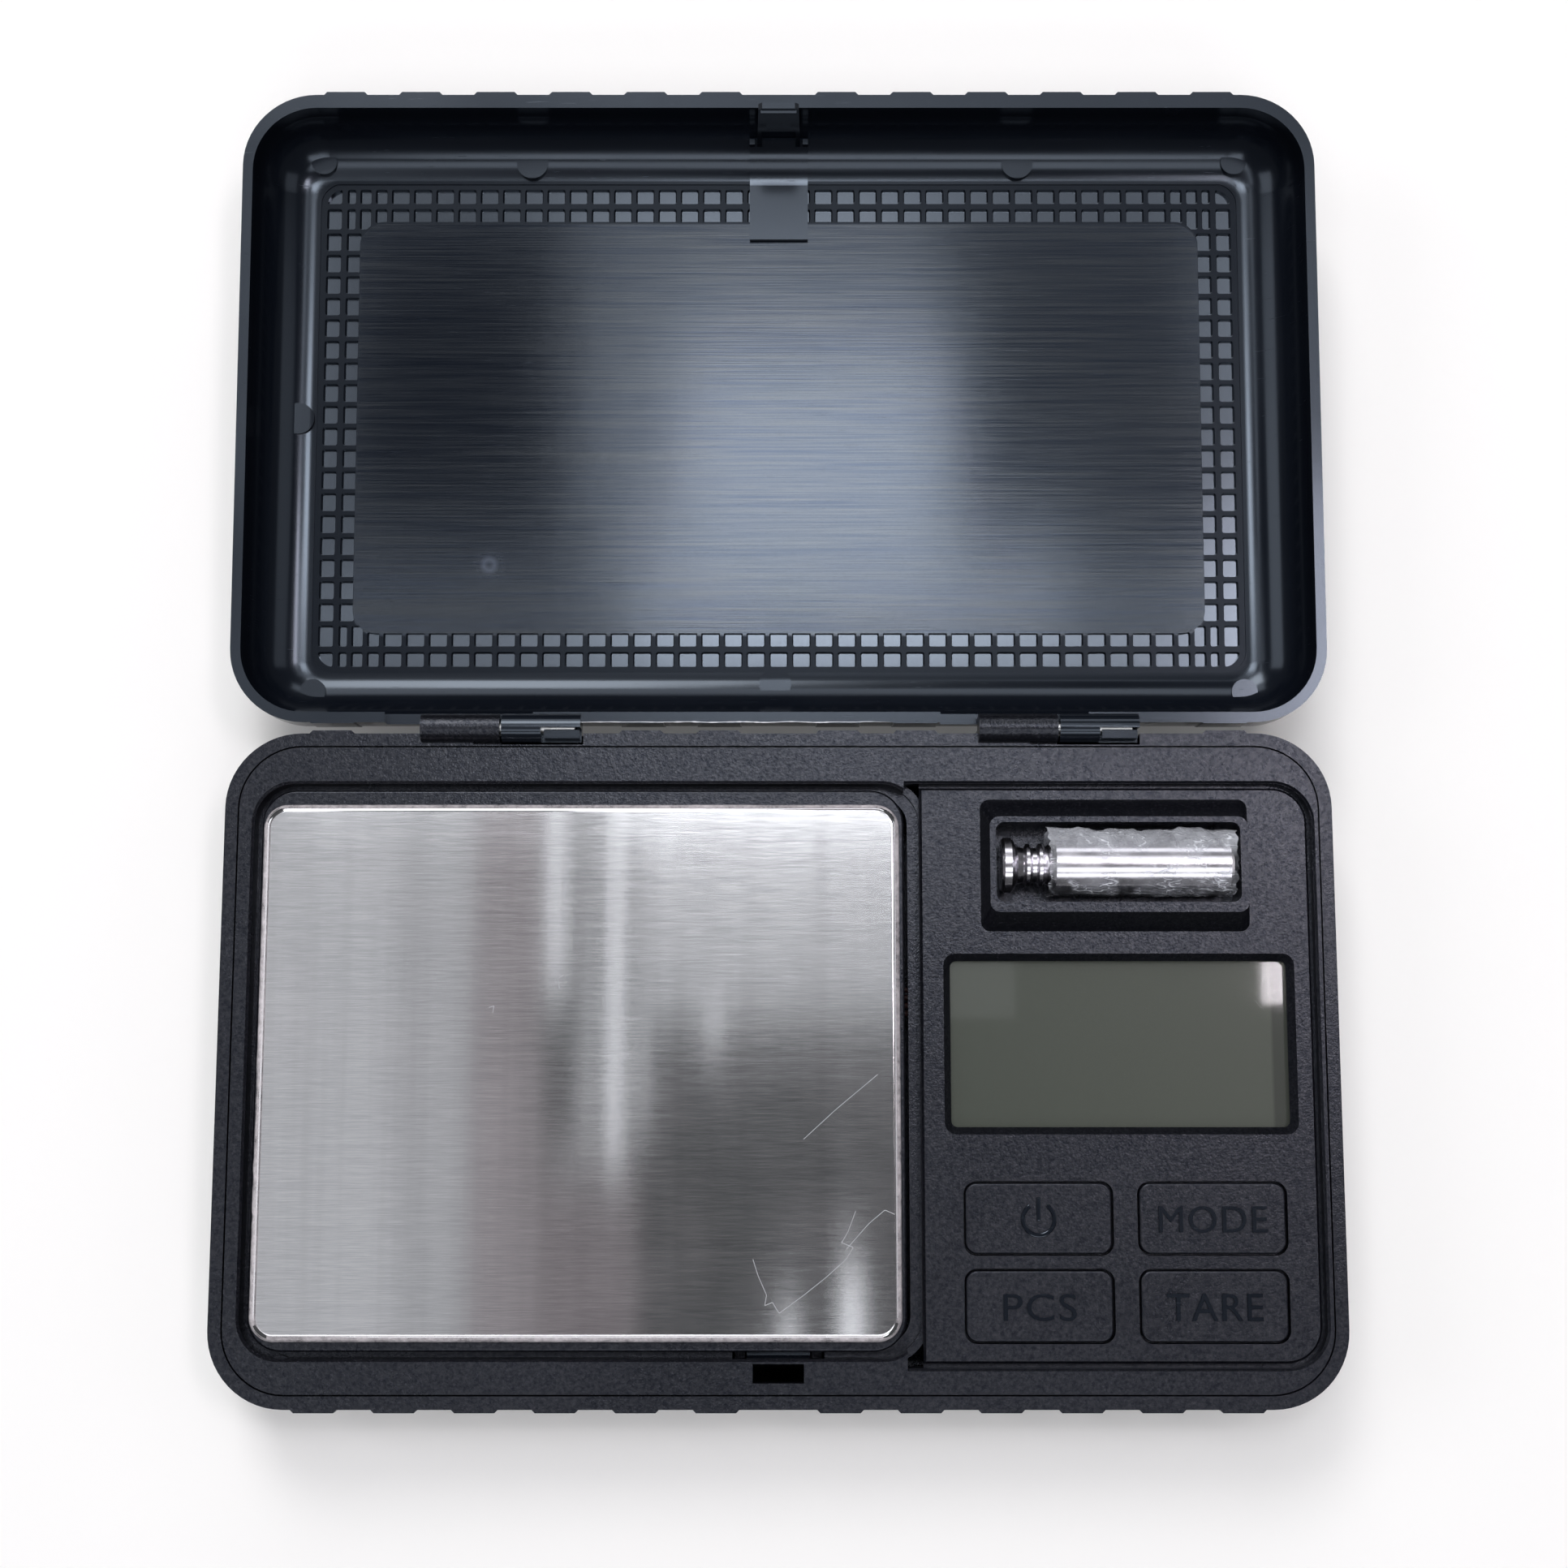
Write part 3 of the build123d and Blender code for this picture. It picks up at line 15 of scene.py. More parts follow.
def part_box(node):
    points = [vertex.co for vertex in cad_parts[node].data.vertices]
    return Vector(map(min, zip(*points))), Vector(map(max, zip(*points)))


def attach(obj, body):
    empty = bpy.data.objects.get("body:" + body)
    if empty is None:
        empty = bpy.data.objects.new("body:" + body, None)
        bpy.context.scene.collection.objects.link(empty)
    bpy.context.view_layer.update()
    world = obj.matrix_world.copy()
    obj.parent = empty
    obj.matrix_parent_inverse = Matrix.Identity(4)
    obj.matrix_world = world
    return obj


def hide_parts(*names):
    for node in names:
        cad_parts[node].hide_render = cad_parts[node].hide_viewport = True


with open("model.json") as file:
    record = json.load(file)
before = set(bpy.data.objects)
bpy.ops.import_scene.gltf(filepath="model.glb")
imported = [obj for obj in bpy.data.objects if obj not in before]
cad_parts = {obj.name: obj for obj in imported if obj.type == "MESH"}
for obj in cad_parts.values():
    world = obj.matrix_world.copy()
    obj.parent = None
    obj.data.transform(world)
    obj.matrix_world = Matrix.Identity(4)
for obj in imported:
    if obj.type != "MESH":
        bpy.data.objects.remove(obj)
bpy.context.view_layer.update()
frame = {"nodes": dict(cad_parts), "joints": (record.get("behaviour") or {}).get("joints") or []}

MM = 0.001
PAN_LOW, PAN_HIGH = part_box("weighing_pan")
WINDOW_LOW, WINDOW_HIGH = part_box("lcd_window")
WEIGHT_LOW, WEIGHT_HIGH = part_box("calibration_weight")
JOINTS = {joint["name"]: joint for joint in frame["joints"]}
HINGE = Vector(JOINTS["lid_hinge"]["pos_m"])
RIM_Z = HINGE.z - 0.1 * MM

# The open lid leans on the base's ledges. Inside it a plateau with a band of small cells round it:
# its edges in X and in Y, and the height of its face and of the webs, had the lid lain level.
LID_LEAN = math.radians(1.8)
PLATEAU = (-56.4 * MM, 56.4 * MM, HINGE.y + 14.0 * MM, HINGE.y + 70.2 * MM)
PLATEAU_CORNER = 3.2 * MM
PLATEAU_MARK = (-38.4 * MM, HINGE.y + 23.5 * MM)
MARK_RADIUS = 1.3 * MM
CELL_BAND = 6 * MM
CELL_TOP = 5.95 * MM

WHITE = (1, 1, 1)
COOL = (0.94, 0.96, 1.0)
BLUISH = (0.74, 0.85, 1.0, 1)

# Raised legends: the words, or none for the power sign, and their width in millimetres.
LEGENDS = {
    "key_power": ("", 0), "key_mode": ("MODE", 13.4), "key_pcs": ("PCS", 9.0),
    "key_tare": ("TARE", 11.8),
}
LEGEND_HEIGHT = 3.3 * MM
LEGEND_RISE = 0.42 * MM
LEGEND_SUNK = 0.02 * MM
LEGEND_EDGE = 0.11 * MM

# The pan's film, folded down its sides.
FILM_GAP = 0.04 * MM
FILM_BEND = 1.0 * MM
FILM_CORNER = 3.0 * MM
FILM_STEP = 0.8 * MM
FILM_LOOSE = (0.18, 0.52)

# Scratches as places across and up the pan, from its front left corner.
SCRATCH_RADIUS = 0.035 * MM
SCRATCH_RISE = 0.06 * MM
PAN_SCRATCHES = (
    ((0.772, 0.150), (0.780, 0.120), (0.793, 0.085), (0.790, 0.066), (0.802, 0.072),
     (0.812, 0.052), (0.850, 0.085), (0.885, 0.118), (0.915, 0.150), (0.926, 0.172),
     (0.908, 0.180), (0.918, 0.200), (0.930, 0.238)),
    ((0.915, 0.168), (0.950, 0.215), (0.975, 0.240), (0.990, 0.232)),
    ((0.470, 0.650), (0.466, 0.668), (0.475, 0.676)),
    ((0.360, 0.615), (0.368, 0.618), (0.366, 0.605)),
    ((0.850, 0.370), (0.900, 0.425), (0.965, 0.490)),
)

# The camera hangs over the base and looks down, leaning towards the hinge.
CAMERA_PLACE = Vector((0.7, -4.7, 301.1)) * MM
CAMERA_LEAN = math.radians(7.988)
CAMERA_LENS = 52.17
CAMERA_SENSOR = 36.0
CAMERA_NEAR = 0.01

# Panels overhead: name, edges in X and in Y (metres), radiance and, if not COOL, colour.
CEILING = 1.0
STRIP_END = 0.20
CEILING_PANELS = (
    ("near_left", -0.28, -0.09, 0.195, 0.225, 6.0),
    ("near_middle", -0.09, 0.16, 0.195, 0.24, 16.0),
    ("near_right", 0.16, 0.32, 0.190, 0.225, 9.0),
    ("main", -0.060, 0.098, 0.250, 0.37, 13.0),
    ("main_left", -0.120, -0.060, 0.250, 0.37, 4.5),
    ("main_far", -0.120, 0.090, 0.37, 0.46, 3.2),
    ("right_mid", 0.098, 0.225, 0.25, 0.46, 0.7),
    ("far_band", -0.30, 0.30, 0.465, 0.62, 1.5),
    ("far_left", -0.345, -0.262, 0.26, 0.46, 2.6),
    ("far_right", 0.240, 0.345, 0.33, 0.46, 3.0),
    ("right_back", 0.268, 0.39, 0.050, 0.28, 17.0, (1.0, 0.93, 0.98)),
    ("left_edge", -0.44, -0.31, -0.30, 0.20, 2.2),
    ("left_grey", -0.31, -0.215, -0.30, 0.20, 0.58),
    ("left_mid", -0.215, -0.172, -0.30, 0.20, 0.47),
    ("mauve_band", -0.172, -0.134, -0.30, 0.20, 0.27, (1.0, 0.90, 0.95)),
    ("upper_pan", -0.078, 0.13, 0.042, 0.19, 0.58),
    ("mauve_low", -0.134, -0.080, -0.30, -0.04, 0.12, (1.0, 0.80, 0.86)),
    ("front_grey", -0.40, 0.40, -0.58, -0.25, 2.6),
)
# Narrow strips: edges in X, the near end in Y, radiance and, if not STRIP_END, the far end.
CEILING_STRIPS = (
    (-0.132, -0.120, 0.055, 1.1), (-0.128, -0.114, -0.075, 1.1, -0.035),
    (-0.112, -0.106, -0.06, 0.7), (-0.098, -0.088, -0.28, 1.3), (-0.080, -0.074, -0.02, 0.8),
    (-0.068, -0.058, 0.075, 1.6), (-0.043, -0.034, 0.032, 2.6), (-0.024, -0.016, 0.085, 2.0),
    (0.001, 0.012, 0.048, 2.4), (0.037, 0.046, 0.065, 2.2), (0.058, 0.066, 0.10, 1.6),
    (0.032, 0.044, -0.28, 1.6, -0.095), (-0.002, 0.008, -0.28, 1.5, -0.12),
)
# Soft lights round the table, turned to the scale: name, place, width, depth, radiance, colour.
SIDE_LIGHTS = (
    ("side_left", (-1.2, 0.2, 0.9), 0.9, 0.7, 1.8, COOL),
    ("side_right", (1.2, 0.2, 0.9), 0.8, 0.7, 0.7, COOL),
    ("key", (-0.27, 0.95, 1.15), 0.5, 0.5, 9.0, WHITE),
    ("front", (0.15, -1.1, 1.1), 1.0, 0.3, 3.4, COOL),
    ("back_wash", (0.0, 1.3, 0.8), 1.2, 0.4, 2.0, COOL),
)
SIDE_AIM = (0, 0.04, 0.01)
FLOOR_HALF = 3.0
FLOOR_GLOW = 0.10
SURROUND = 0.10


# ---------------------------------------------------------------- node helpers

class Shader:
    """A material's node tree, with short calls for the nodes that the materials share."""

    def __init__(self, name):
        self.material = bpy.data.materials.new(name)
        self.material.use_nodes = True
        self.tree = self.material.node_tree
        self.bsdf = self.tree.nodes["Principled BSDF"]
        self.place = self.add("ShaderNodeTexCoord").outputs["Object"]

    def add(self, kind, **settings):
        node = self.tree.nodes.new(kind)
        for key, value in settings.items():
            setattr(node, key, value)
        return node

    def put(self, socket, value):
        """Sets a socket to a constant, or links it to another node's output."""
        if isinstance(value, bpy.types.NodeSocket):
            self.tree.links.new(value, socket)
        else:
            socket.default_value = value

    def set(self, **values):
        return self.dress(self.bsdf, **values)

    def dress(self, node, **values):
        for key, value in values.items():
            self.put(node.inputs[key.replace("_", " ")], value)
        return node.outputs[0]

    def tangent(self, axis):
        return self.add("ShaderNodeTangent", direction_type="RADIAL", axis=axis).outputs[0]

    def surface(self, **values):
        """A further surface, to be mixed with the material's own."""
        return self.dress(self.add("ShaderNodeBsdfPrincipled"), **values)

    def mixed(self, factor, first, second):
        """Two surfaces mixed: the second shows where the factor is 1."""
        node = self.add("ShaderNodeMixShader")
        for socket, value in zip(node.inputs, (factor, first, second)):
            self.put(socket, value)
        return node.outputs[0]

    def lid_height(self):
        """The height above the case's underside, had the open lid lain level."""
        across = self.times(self.minus(self.axis(1), HINGE.y), -math.sin(LID_LEAN))
        above = self.times(self.minus(self.axis(2), HINGE.z), math.cos(LID_LEAN))
        return self.plus(self.plus(across, above), HINGE.z)

    def stretched(self, scale, turn=(0, 0, 0)):
        node = self.add("ShaderNodeMapping")
        self.put(node.inputs["Vector"], self.place)
        node.inputs["Scale"].default_value = scale
        node.inputs["Rotation"].default_value = turn
        return node.outputs["Vector"]

    def noise(self, scale, detail=2.0, rough=0.5, vector=None):
        node = self.add("ShaderNodeTexNoise")
        self.put(node.inputs["Vector"], vector or self.place)
        node.inputs["Scale"].default_value = scale
        node.inputs["Detail"].default_value = detail
        node.inputs["Roughness"].default_value = rough
        return node.outputs["Fac"]

    def cells(self, scale):
        node = self.add("ShaderNodeTexVoronoi", feature="F1")
        self.put(node.inputs["Vector"], self.place)
        node.inputs["Scale"].default_value = scale
        return node.outputs["Distance"]

    def maths(self, operation, *values):
        node = self.add("ShaderNodeMath", operation=operation)
        for socket, value in zip(node.inputs, values):
            self.put(socket, value)
        return node.outputs[0]

    def plus(self, a, b):
        return self.maths("ADD", a, b)

    def minus(self, a, b):
        return self.maths("SUBTRACT", a, b)

    def times(self, a, b):
        return self.maths("MULTIPLY", a, b)

    def larger(self, a, b):
        return self.maths("MAXIMUM", a, b)

    def absolute(self, a):
        return self.maths("ABSOLUTE", a)

    def root(self, a):
        return self.maths("SQRT", a)

    def span(self, value, low, high, to_low=0.0, to_high=1.0):
        node = self.add("ShaderNodeMapRange")
        for name, item in (("Value", value), ("From Min", low), ("From Max", high),
                           ("To Min", to_low), ("To Max", to_high)):
            self.put(node.inputs[name], item)
        return node.outputs["Result"]

    def blend(self, factor, a, b):
        node = self.add("ShaderNodeMix", data_type="RGBA")
        self.put(node.inputs["Factor"], factor)
        self.put(node.inputs[6], a)
        self.put(node.inputs[7], b)
        return node.outputs[2]

    def bump(self, height, strength, distance, below=None):
        node = self.add("ShaderNodeBump")
        self.put(node.inputs["Height"], height)
        node.inputs["Strength"].default_value = strength
        node.inputs["Distance"].default_value = distance
        if below is not None:
            self.put(node.inputs["Normal"], below)
        return node.outputs["Normal"]

    def axis(self, index):
        node = self.add("ShaderNodeSeparateXYZ")
        self.put(node.inputs[0], self.place)
        return node.outputs[index]

    def ring_mark(self, place, radius):
        """A faint spot with a brighter rim round a point of the XY plane."""
        offs = [self.minus(self.axis(i), place[i]) for i in (0, 1)]
        squares = [self.times(off, off) for off in offs]
        distance = self.root(self.plus(*squares))
        rim = self.span(self.absolute(self.minus(distance, radius * 0.55)),
                        0.0, radius * 0.5, 0.55, 0.0)
        haze = self.span(distance, 0.0, radius * 2.2, 0.18, 0.0)
        return self.plus(rim, haze)

    def inside(self, x0, x1, y0, y1, corner, soft):
        """1 inside a rounded rectangle of the XY plane and 0 outside."""
        ends = []
        for index, low, high in ((0, x0, x1), (1, y0, y1)):
            off = self.minus(self.axis(index), (low + high) / 2)
            past = self.minus(self.absolute(off), (high - low) / 2 - corner)
            ends.append(self.larger(past, 0.0))
        square = self.plus(self.times(ends[0], ends[0]), self.times(ends[1], ends[1]))
        distance = self.root(square)
        return self.span(distance, corner - soft, corner + soft, 1.0, 0.0)


# ---------------------------------------------------------------- materials

def grained_plastic(name):
    """Black plastic with the fine even grain of a spark-eroded mould."""
    s = Shader(name)
    grain = s.noise(2600, 3.0, 0.65)
    pits = s.cells(3800)
    height = s.plus(grain, s.times(pits, 0.6))
    cloud = s.noise(45, 3.0)
    speck = s.span(s.noise(3600, 2.0), 0.56, 0.74)
    colour = s.blend(cloud, (0.0022, 0.0024, 0.0038, 1), (0.0040, 0.0042, 0.0062, 1))
    s.set(Base_Color=s.blend(speck, colour, (0.016, 0.016, 0.021, 1)))
    s.set(Roughness=s.span(cloud, 0.3, 0.7, 0.25, 0.31))
    sheen = s.span(s.plus(grain, s.times(s.noise(1500, 2.0), 0.5)), 0.55, 0.95)
    s.set(Specular_Tint=s.blend(sheen, (0.33, 0.36, 0.45, 1), (0.86, 0.89, 1.0, 1)))
    s.set(Normal=s.bump(height, 0.8, 0.028 * MM))
    return s.material


def scratched(s, rough):
    """Gives a material a near-black skin with fine scratches; returns its colour and its bumps."""
    cloud = s.noise(30, 4.0)
    across = s.stretched((300, 5200, 300), (0, 0, 0.5))
    scratch = s.span(s.noise(1.0, 2.0, vector=across), 0.70, 0.74)
    wave = s.noise(180, 2.0)
    colour = s.blend(cloud, (0.0022, 0.0032, 0.0058, 1), (0.0045, 0.0060, 0.0098, 1))
    worn = s.plus(s.span(cloud, 0.3, 0.7, rough - 0.04, rough + 0.04), s.times(scratch, 0.10))
    skin = s.bump(s.plus(wave, s.times(scratch, -0.15)), 0.30, 0.02 * MM)
    s.set(Specular_Tint=BLUISH, Base_Color=colour, Roughness=worn, Normal=skin)
    return colour, skin


def smooth_plastic(name, rough):
    """Black moulded plastic, lightly scratched."""
    s = Shader(name)
    scratched(s, rough)
    return s.material


def brushed_plateau(s, colour, skin):
    """The surface of the lid's plateau: brushed along X, with one faint ring mark."""
    brush = s.noise(1.0, 3.0, 0.6, s.stretched((60, 7000, 60)))
    coarse = s.noise(1.0, 2.0, 0.5, s.stretched((18, 1300, 18), (0, 0, 0.02)))
    lines = s.plus(s.times(brush, 0.8), s.times(coarse, 0.2))
    tint = s.blend(s.span(lines, 0.38, 0.62), (0.50, 0.60, 0.78, 1), (0.84, 0.92, 1.0, 1))
    stain = s.ring_mark(PLATEAU_MARK, MARK_RADIUS)
    return s.surface(Base_Color=s.blend(stain, colour, (0.060, 0.070, 0.095, 1)),
                     Roughness=s.span(lines, 0.35, 0.65, 0.10, 0.145), Specular_Tint=tint,
                     Anisotropic=0.6, Tangent=s.tangent("X"),
                     Normal=s.bump(lines, 0.40, 0.012 * MM, skin))


def lid_plastic():
    """Moulded plastic; inside the lid a brushed plateau, dull webs and glossy cell floors."""
    s = Shader("lid_plastic")
    colour, skin = scratched(s, 0.17)
    dull = s.surface(Base_Color=colour, Roughness=0.30, Specular_IOR_Level=0.14,
                     Specular_Tint=BLUISH, Normal=skin)
    glossy = s.surface(Base_Color=colour, Roughness=0.16, Specular_IOR_Level=0.95,
                       Specular_Tint=BLUISH, Normal=skin)
    brushed = brushed_plateau(s, colour, skin)
    height = s.lid_height()
    x0, x1, y0, y1 = PLATEAU
    band = (x0 - CELL_BAND, x1 + CELL_BAND, y0 - CELL_BAND, y1 + CELL_BAND)
    around = s.inside(*band, PLATEAU_CORNER, 0.2 * MM)
    sunk = s.span(height, CELL_TOP - 0.10 * MM, CELL_TOP - 0.04 * MM, 1.0, 0.0)
    above_skin = s.span(height, CELL_TOP - 1.0 * MM, CELL_TOP - 0.9 * MM)
    face = s.span(height, CELL_TOP - 0.25 * MM, CELL_TOP - 0.15 * MM)
    web = s.times(around, s.minus(1.0, sunk))
    cell = s.times(s.times(around, sunk), above_skin)
    middle = s.times(s.inside(*PLATEAU, PLATEAU_CORNER, 0.15 * MM), face)
    grid = s.mixed(web, s.mixed(cell, s.bsdf.outputs[0], glossy), dull)
    s.put(s.tree.nodes["Material Output"].inputs["Surface"], s.mixed(middle, grid, brushed))
    return s.material


def brushed_steel():
    """Stainless sheet brushed along X: what it mirrors is smeared across the brushing, along Y. Darker
    streaks along Y, across the brushing, are a painted reflection.
    """
    s = Shader("brushed_steel")
    fine = s.noise(1.0, 3.0, 0.65, s.stretched((240, 12000, 240)))
    broad = s.noise(1.0, 2.0, 0.5, s.stretched((35, 2200, 35)))
    lines = s.plus(s.times(fine, 0.8), s.times(broad, 0.2))
    # Painted reflection: dark streaks along Y, across the brushing, standing in for the steel's smeared
    # reflections.
    painted_reflection_streaks = s.noise(1.0, 3.0, 0.6, s.stretched((300, 10, 10)))
    tone = s.blend(s.span(lines, 0.3, 0.7), (0.50, 0.50, 0.515, 1), (0.72, 0.715, 0.72, 1))
    tone = s.blend(s.span(painted_reflection_streaks, 0.40, 0.72, 0.0, 0.22), tone, (0.36, 0.35, 0.36, 1))
    s.set(Base_Color=tone, Metallic=1.0, Anisotropic=0.85, Tangent=s.tangent("X"))
    s.set(Roughness=s.span(lines, 0.35, 0.65, 0.070, 0.088))
    s.set(Normal=s.bump(lines, 0.10, 0.006 * MM))
    return s.material


def plain_metal(name, colour, rough):
    """Plated or ground metal with light tool marks."""
    s = Shader(name)
    marks = s.noise(900, 3.0)
    dark = tuple(c * 0.82 for c in colour) + (1,)
    s.set(Base_Color=s.blend(marks, dark, colour + (1,)), Metallic=1.0)
    s.set(Roughness=s.span(marks, 0.3, 0.7, rough * 0.8, rough * 1.25))
    s.set(Normal=s.bump(marks, 0.2, 0.01 * MM))
    return s.material


def plain_solid(name, colour, rough, scale=700, depth=0.02):
    """Moulded plastic, rubber or resin with slight mottling."""
    s = Shader(name)
    marks = s.noise(scale, 3.0)
    dark = tuple(c * 0.8 for c in colour) + (1,)
    s.set(Base_Color=s.blend(marks, dark, colour + (1,)))
    s.set(Roughness=s.span(marks, 0.3, 0.7, rough * 0.85, rough * 1.15))
    s.set(Normal=s.bump(marks, 0.3, depth * MM))
    return s.material


def film_clear():
    """The pan's protective film: clear, milky and pinkish where it folds over the edge."""
    s = Shader("film_clear")
    crease = s.noise(700, 4.0, 0.7)
    patch = s.noise(60, 3.0)
    x0, x1 = PAN_LOW.x + 0.75 * MM, PAN_HIGH.x - 0.45 * MM
    y0, y1 = PAN_LOW.y + 0.75 * MM, PAN_HIGH.y - 0.45 * MM
    middle = s.inside(x0, x1, y0, y1, 2.4 * MM, 0.30 * MM)
    fold = s.span(s.plus(crease, s.times(patch, 0.5)), 0.55, 0.95, 0.25, 0.85)
    flat = s.span(patch, 0.4, 0.8, 0.0, 0.05)
    gap = s.minus(1.0, middle)
    alpha = s.plus(s.times(middle, flat), s.times(gap, fold))
    s.set(Base_Color=(0.80, 0.74, 0.76, 1), Roughness=0.22, Alpha=alpha)
    s.set(Normal=s.bump(s.times(crease, gap), 0.5, 0.05 * MM))
    return s.material


def wrap_clear():
    """Crinkled clear wrap: hazy, with painted highlights: sharp white lines along its creases here and
    there, and a whiter band towards its side facing the hinge.
    """
    s = Shader("wrap_clear")
    bent = s.noise(260, 3.0, 0.6)
    fold = s.noise(1.0, 2.0, 0.5, s.stretched((170, 520, 520), (0.3, 0.1, 0.45)))
    other = s.noise(1.0, 2.0, 0.5, s.stretched((240, 900, 900), (0.2, 0.5, -0.8)))
    # Painted highlights: sharp white lines along the real creases.
    painted_crease_glints = [s.span(s.absolute(s.minus(value, 0.5)), 0.0, width, 1.0, 0.0)
            for value, width in ((fold, 0.030), (other, 0.026))]
    crease = s.times(s.larger(*painted_crease_glints), s.span(bent, 0.42, 0.60))
    middle = (WEIGHT_LOW.y + WEIGHT_HIGH.y) / 2
    # Painted highlight: the wrap whitens towards its +Y side, facing the hinge.
    upper = s.span(s.axis(1), middle + 0.6 * MM, middle + 2.4 * MM, 0.02, 0.24)
    haze = s.plus(s.span(bent, 0.40, 0.75, 0.0, 0.22), upper)
    s.set(Base_Color=(0.86, 0.88, 0.94, 1), Roughness=0.14)
    s.set(Alpha=s.larger(haze, s.times(crease, 0.85)))
    s.set(Normal=s.bump(s.plus(bent, crease), 0.7, 0.15 * MM))
    return s.material


def white_mark(name, strength):
    """Scratched or torn plastic, whitened along the damage."""
    s = Shader(name)
    torn = s.noise(3000, 3.0)
    s.set(Base_Color=s.blend(torn, (0.5, 0.5, 0.53, 1), (0.85, 0.86, 0.9, 1)), Roughness=0.35)
    s.set(Alpha=strength, Normal=s.bump(torn, 0.6, 0.05 * MM))
    return s.material


def display_face():
    """The grey-green display, with painted light: brighter towards its top and towards its right. Darker
    along its right edge.
    """
    s = Shader("display_face")
    x0, x1 = WINDOW_LOW.x, WINDOW_HIGH.x
    y0, y1 = WINDOW_LOW.y, WINDOW_HIGH.y
    across = s.span(s.axis(0), x0, x1)
    up = s.span(s.axis(1), y0, y1)
    grain = s.noise(9000, 1.0)
    # Painted light: the face brightens towards its top and towards its right.
    left = s.blend(up, (0.016, 0.020, 0.014, 1), (0.020, 0.024, 0.018, 1))
    tone = s.blend(across, left, (0.036, 0.038, 0.031, 1))
    tone = s.blend(s.span(grain, 0.3, 0.7, 0.0, 0.12), tone, (0.085, 0.092, 0.080, 1))
    edge = s.span(across, 0.935, 0.945)
    s.set(Base_Color=s.blend(edge, tone, (0.003, 0.003, 0.003, 1)))
    s.set(Roughness=s.span(grain, 0.3, 0.7, 0.32, 0.38))
    s.set(Specular_IOR_Level=0.15, Coat_Weight=1.0, Coat_Roughness=0.03)
    return s.material


def window_clear():
    """The clear window over the display, slightly smeared."""
    s = Shader("window_clear")
    smear = s.noise(120, 4.0, 0.6)
    s.set(Base_Color=(0.55, 0.6, 0.5, 1), Alpha=0.035)
    s.set(Roughness=s.span(smear, 0.4, 0.7, 0.03, 0.10), Specular_IOR_Level=0.7)
    return s.material


def chrome():
    """The weight's plating, faintly turned along its length."""
    s = Shader("weight_chrome")
    haze = s.noise(300, 4.0)
    turned = s.noise(1.0, 2.0, 0.5, s.stretched((9000, 60, 60)))
    s.set(Base_Color=s.blend(haze, (0.60, 0.58, 0.62, 1), (0.72, 0.70, 0.74, 1)), Metallic=1.0)
    s.set(Roughness=s.span(haze, 0.3, 0.7, 0.16, 0.26))
    s.set(Normal=s.bump(turned, 0.15, 0.006 * MM))
    return s.material


def coat(node, material):
    """Gives a CAD node its material."""
    slots = frame["nodes"][node].data.materials
    if not slots:
        slots.append(material)
    for i in range(len(slots)):
        slots[i] = material


def coat_nodes():
    """Gives every CAD node its material."""
    plated = plain_metal("plated_steel", (0.62, 0.62, 0.60), 0.25)
    jacket = plain_solid("cell_jacket", (0.12, 0.13, 0.14), 0.35, 200)
    by_material = {
        grained_plastic("grained_plastic"): ("bottom_case", "top_cover", "pan_carrier",
                                             "battery_door"),
        grained_plastic("key_plastic"): ("key_power", "key_mode", "key_pcs", "key_tare"),
        lid_plastic(): ("lid_shell",),
        smooth_plastic("clip_plastic", 0.17): ("lid_clip",),
        smooth_plastic("button_plastic", 0.12): ("release_button",),
        brushed_steel(): ("weighing_pan",),
        window_clear(): ("lcd_window",),
        display_face(): ("lcd_glass",),
        chrome(): ("calibration_weight",),
        plain_solid("light_guide", (0.8, 0.8, 0.78), 0.3): ("lcd_light_guide",),
        plain_solid("contact_rubber", (0.35, 0.3, 0.25), 0.6): ("contact_strip",),
        plain_solid("board_green", (0.02, 0.13, 0.05), 0.4): ("circuit_board",),
        plain_solid("chip_resin", (0.01, 0.01, 0.01), 0.3): ("controller_chip",),
        plain_solid("switch_black", (0.02, 0.02, 0.02), 0.4): ("tact_switches",),
        plain_solid("foot_rubber", (0.015, 0.015, 0.015), 0.75): ("foot_pads",),
        plain_solid("foam", (0.7, 0.7, 0.68), 0.9, 2500, 0.1): ("foam_tapes",),
        plain_solid("wire_sleeve", (0.05, 0.006, 0.006), 0.5): ("load_cell_wires",),
        plain_metal("milled_aluminium", (0.75, 0.75, 0.76), 0.35): ("load_cell",),
        plain_metal("ground_steel", (0.6, 0.6, 0.6), 0.3): ("hinge_pin_left", "hinge_pin_right"),
        plated: ("board_screws", "load_cell_screws", "case_screws", "carrier_screws",
                 "contact_springs", "cell_contacts", "release_spring"),
        jacket: ("cell_front", "cell_rear"),
    }
    for material, nodes in by_material.items():
        for node in nodes:
            coat(node, material)


# ---------------------------------------------------------------- pieces

def finished(piece, body, material):
    """Rides a new piece on its body and gives it its finish."""
    piece.data.materials.clear()
    piece.data.materials.append(material)
    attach(piece, body)


def mesh_piece(name, vertices, faces, smooth=True):
    """A new object from points in metres and faces."""
    mesh = bpy.data.meshes.new(name)
    mesh.from_pydata([tuple(v) for v in vertices], [], faces)
    mesh.validate()
    mesh.update()
    if smooth:
        mesh.shade_smooth()
    piece = bpy.data.objects.new(name, mesh)
    bpy.context.scene.collection.objects.link(piece)
    return piece


def strips(rows, count, closed_last=False):
    """Faces between successive closed rows of points, and over the last row if asked."""
    faces = []
    for row in range(rows - 1):
        a, b = row * count, (row + 1) * count
        faces += [[a + i, a + (i + 1) % count, b + (i + 1) % count, b + i] for i in range(count)]
    if closed_last:
        faces.append([(rows - 1) * count + i for i in range(count)])
    return faces


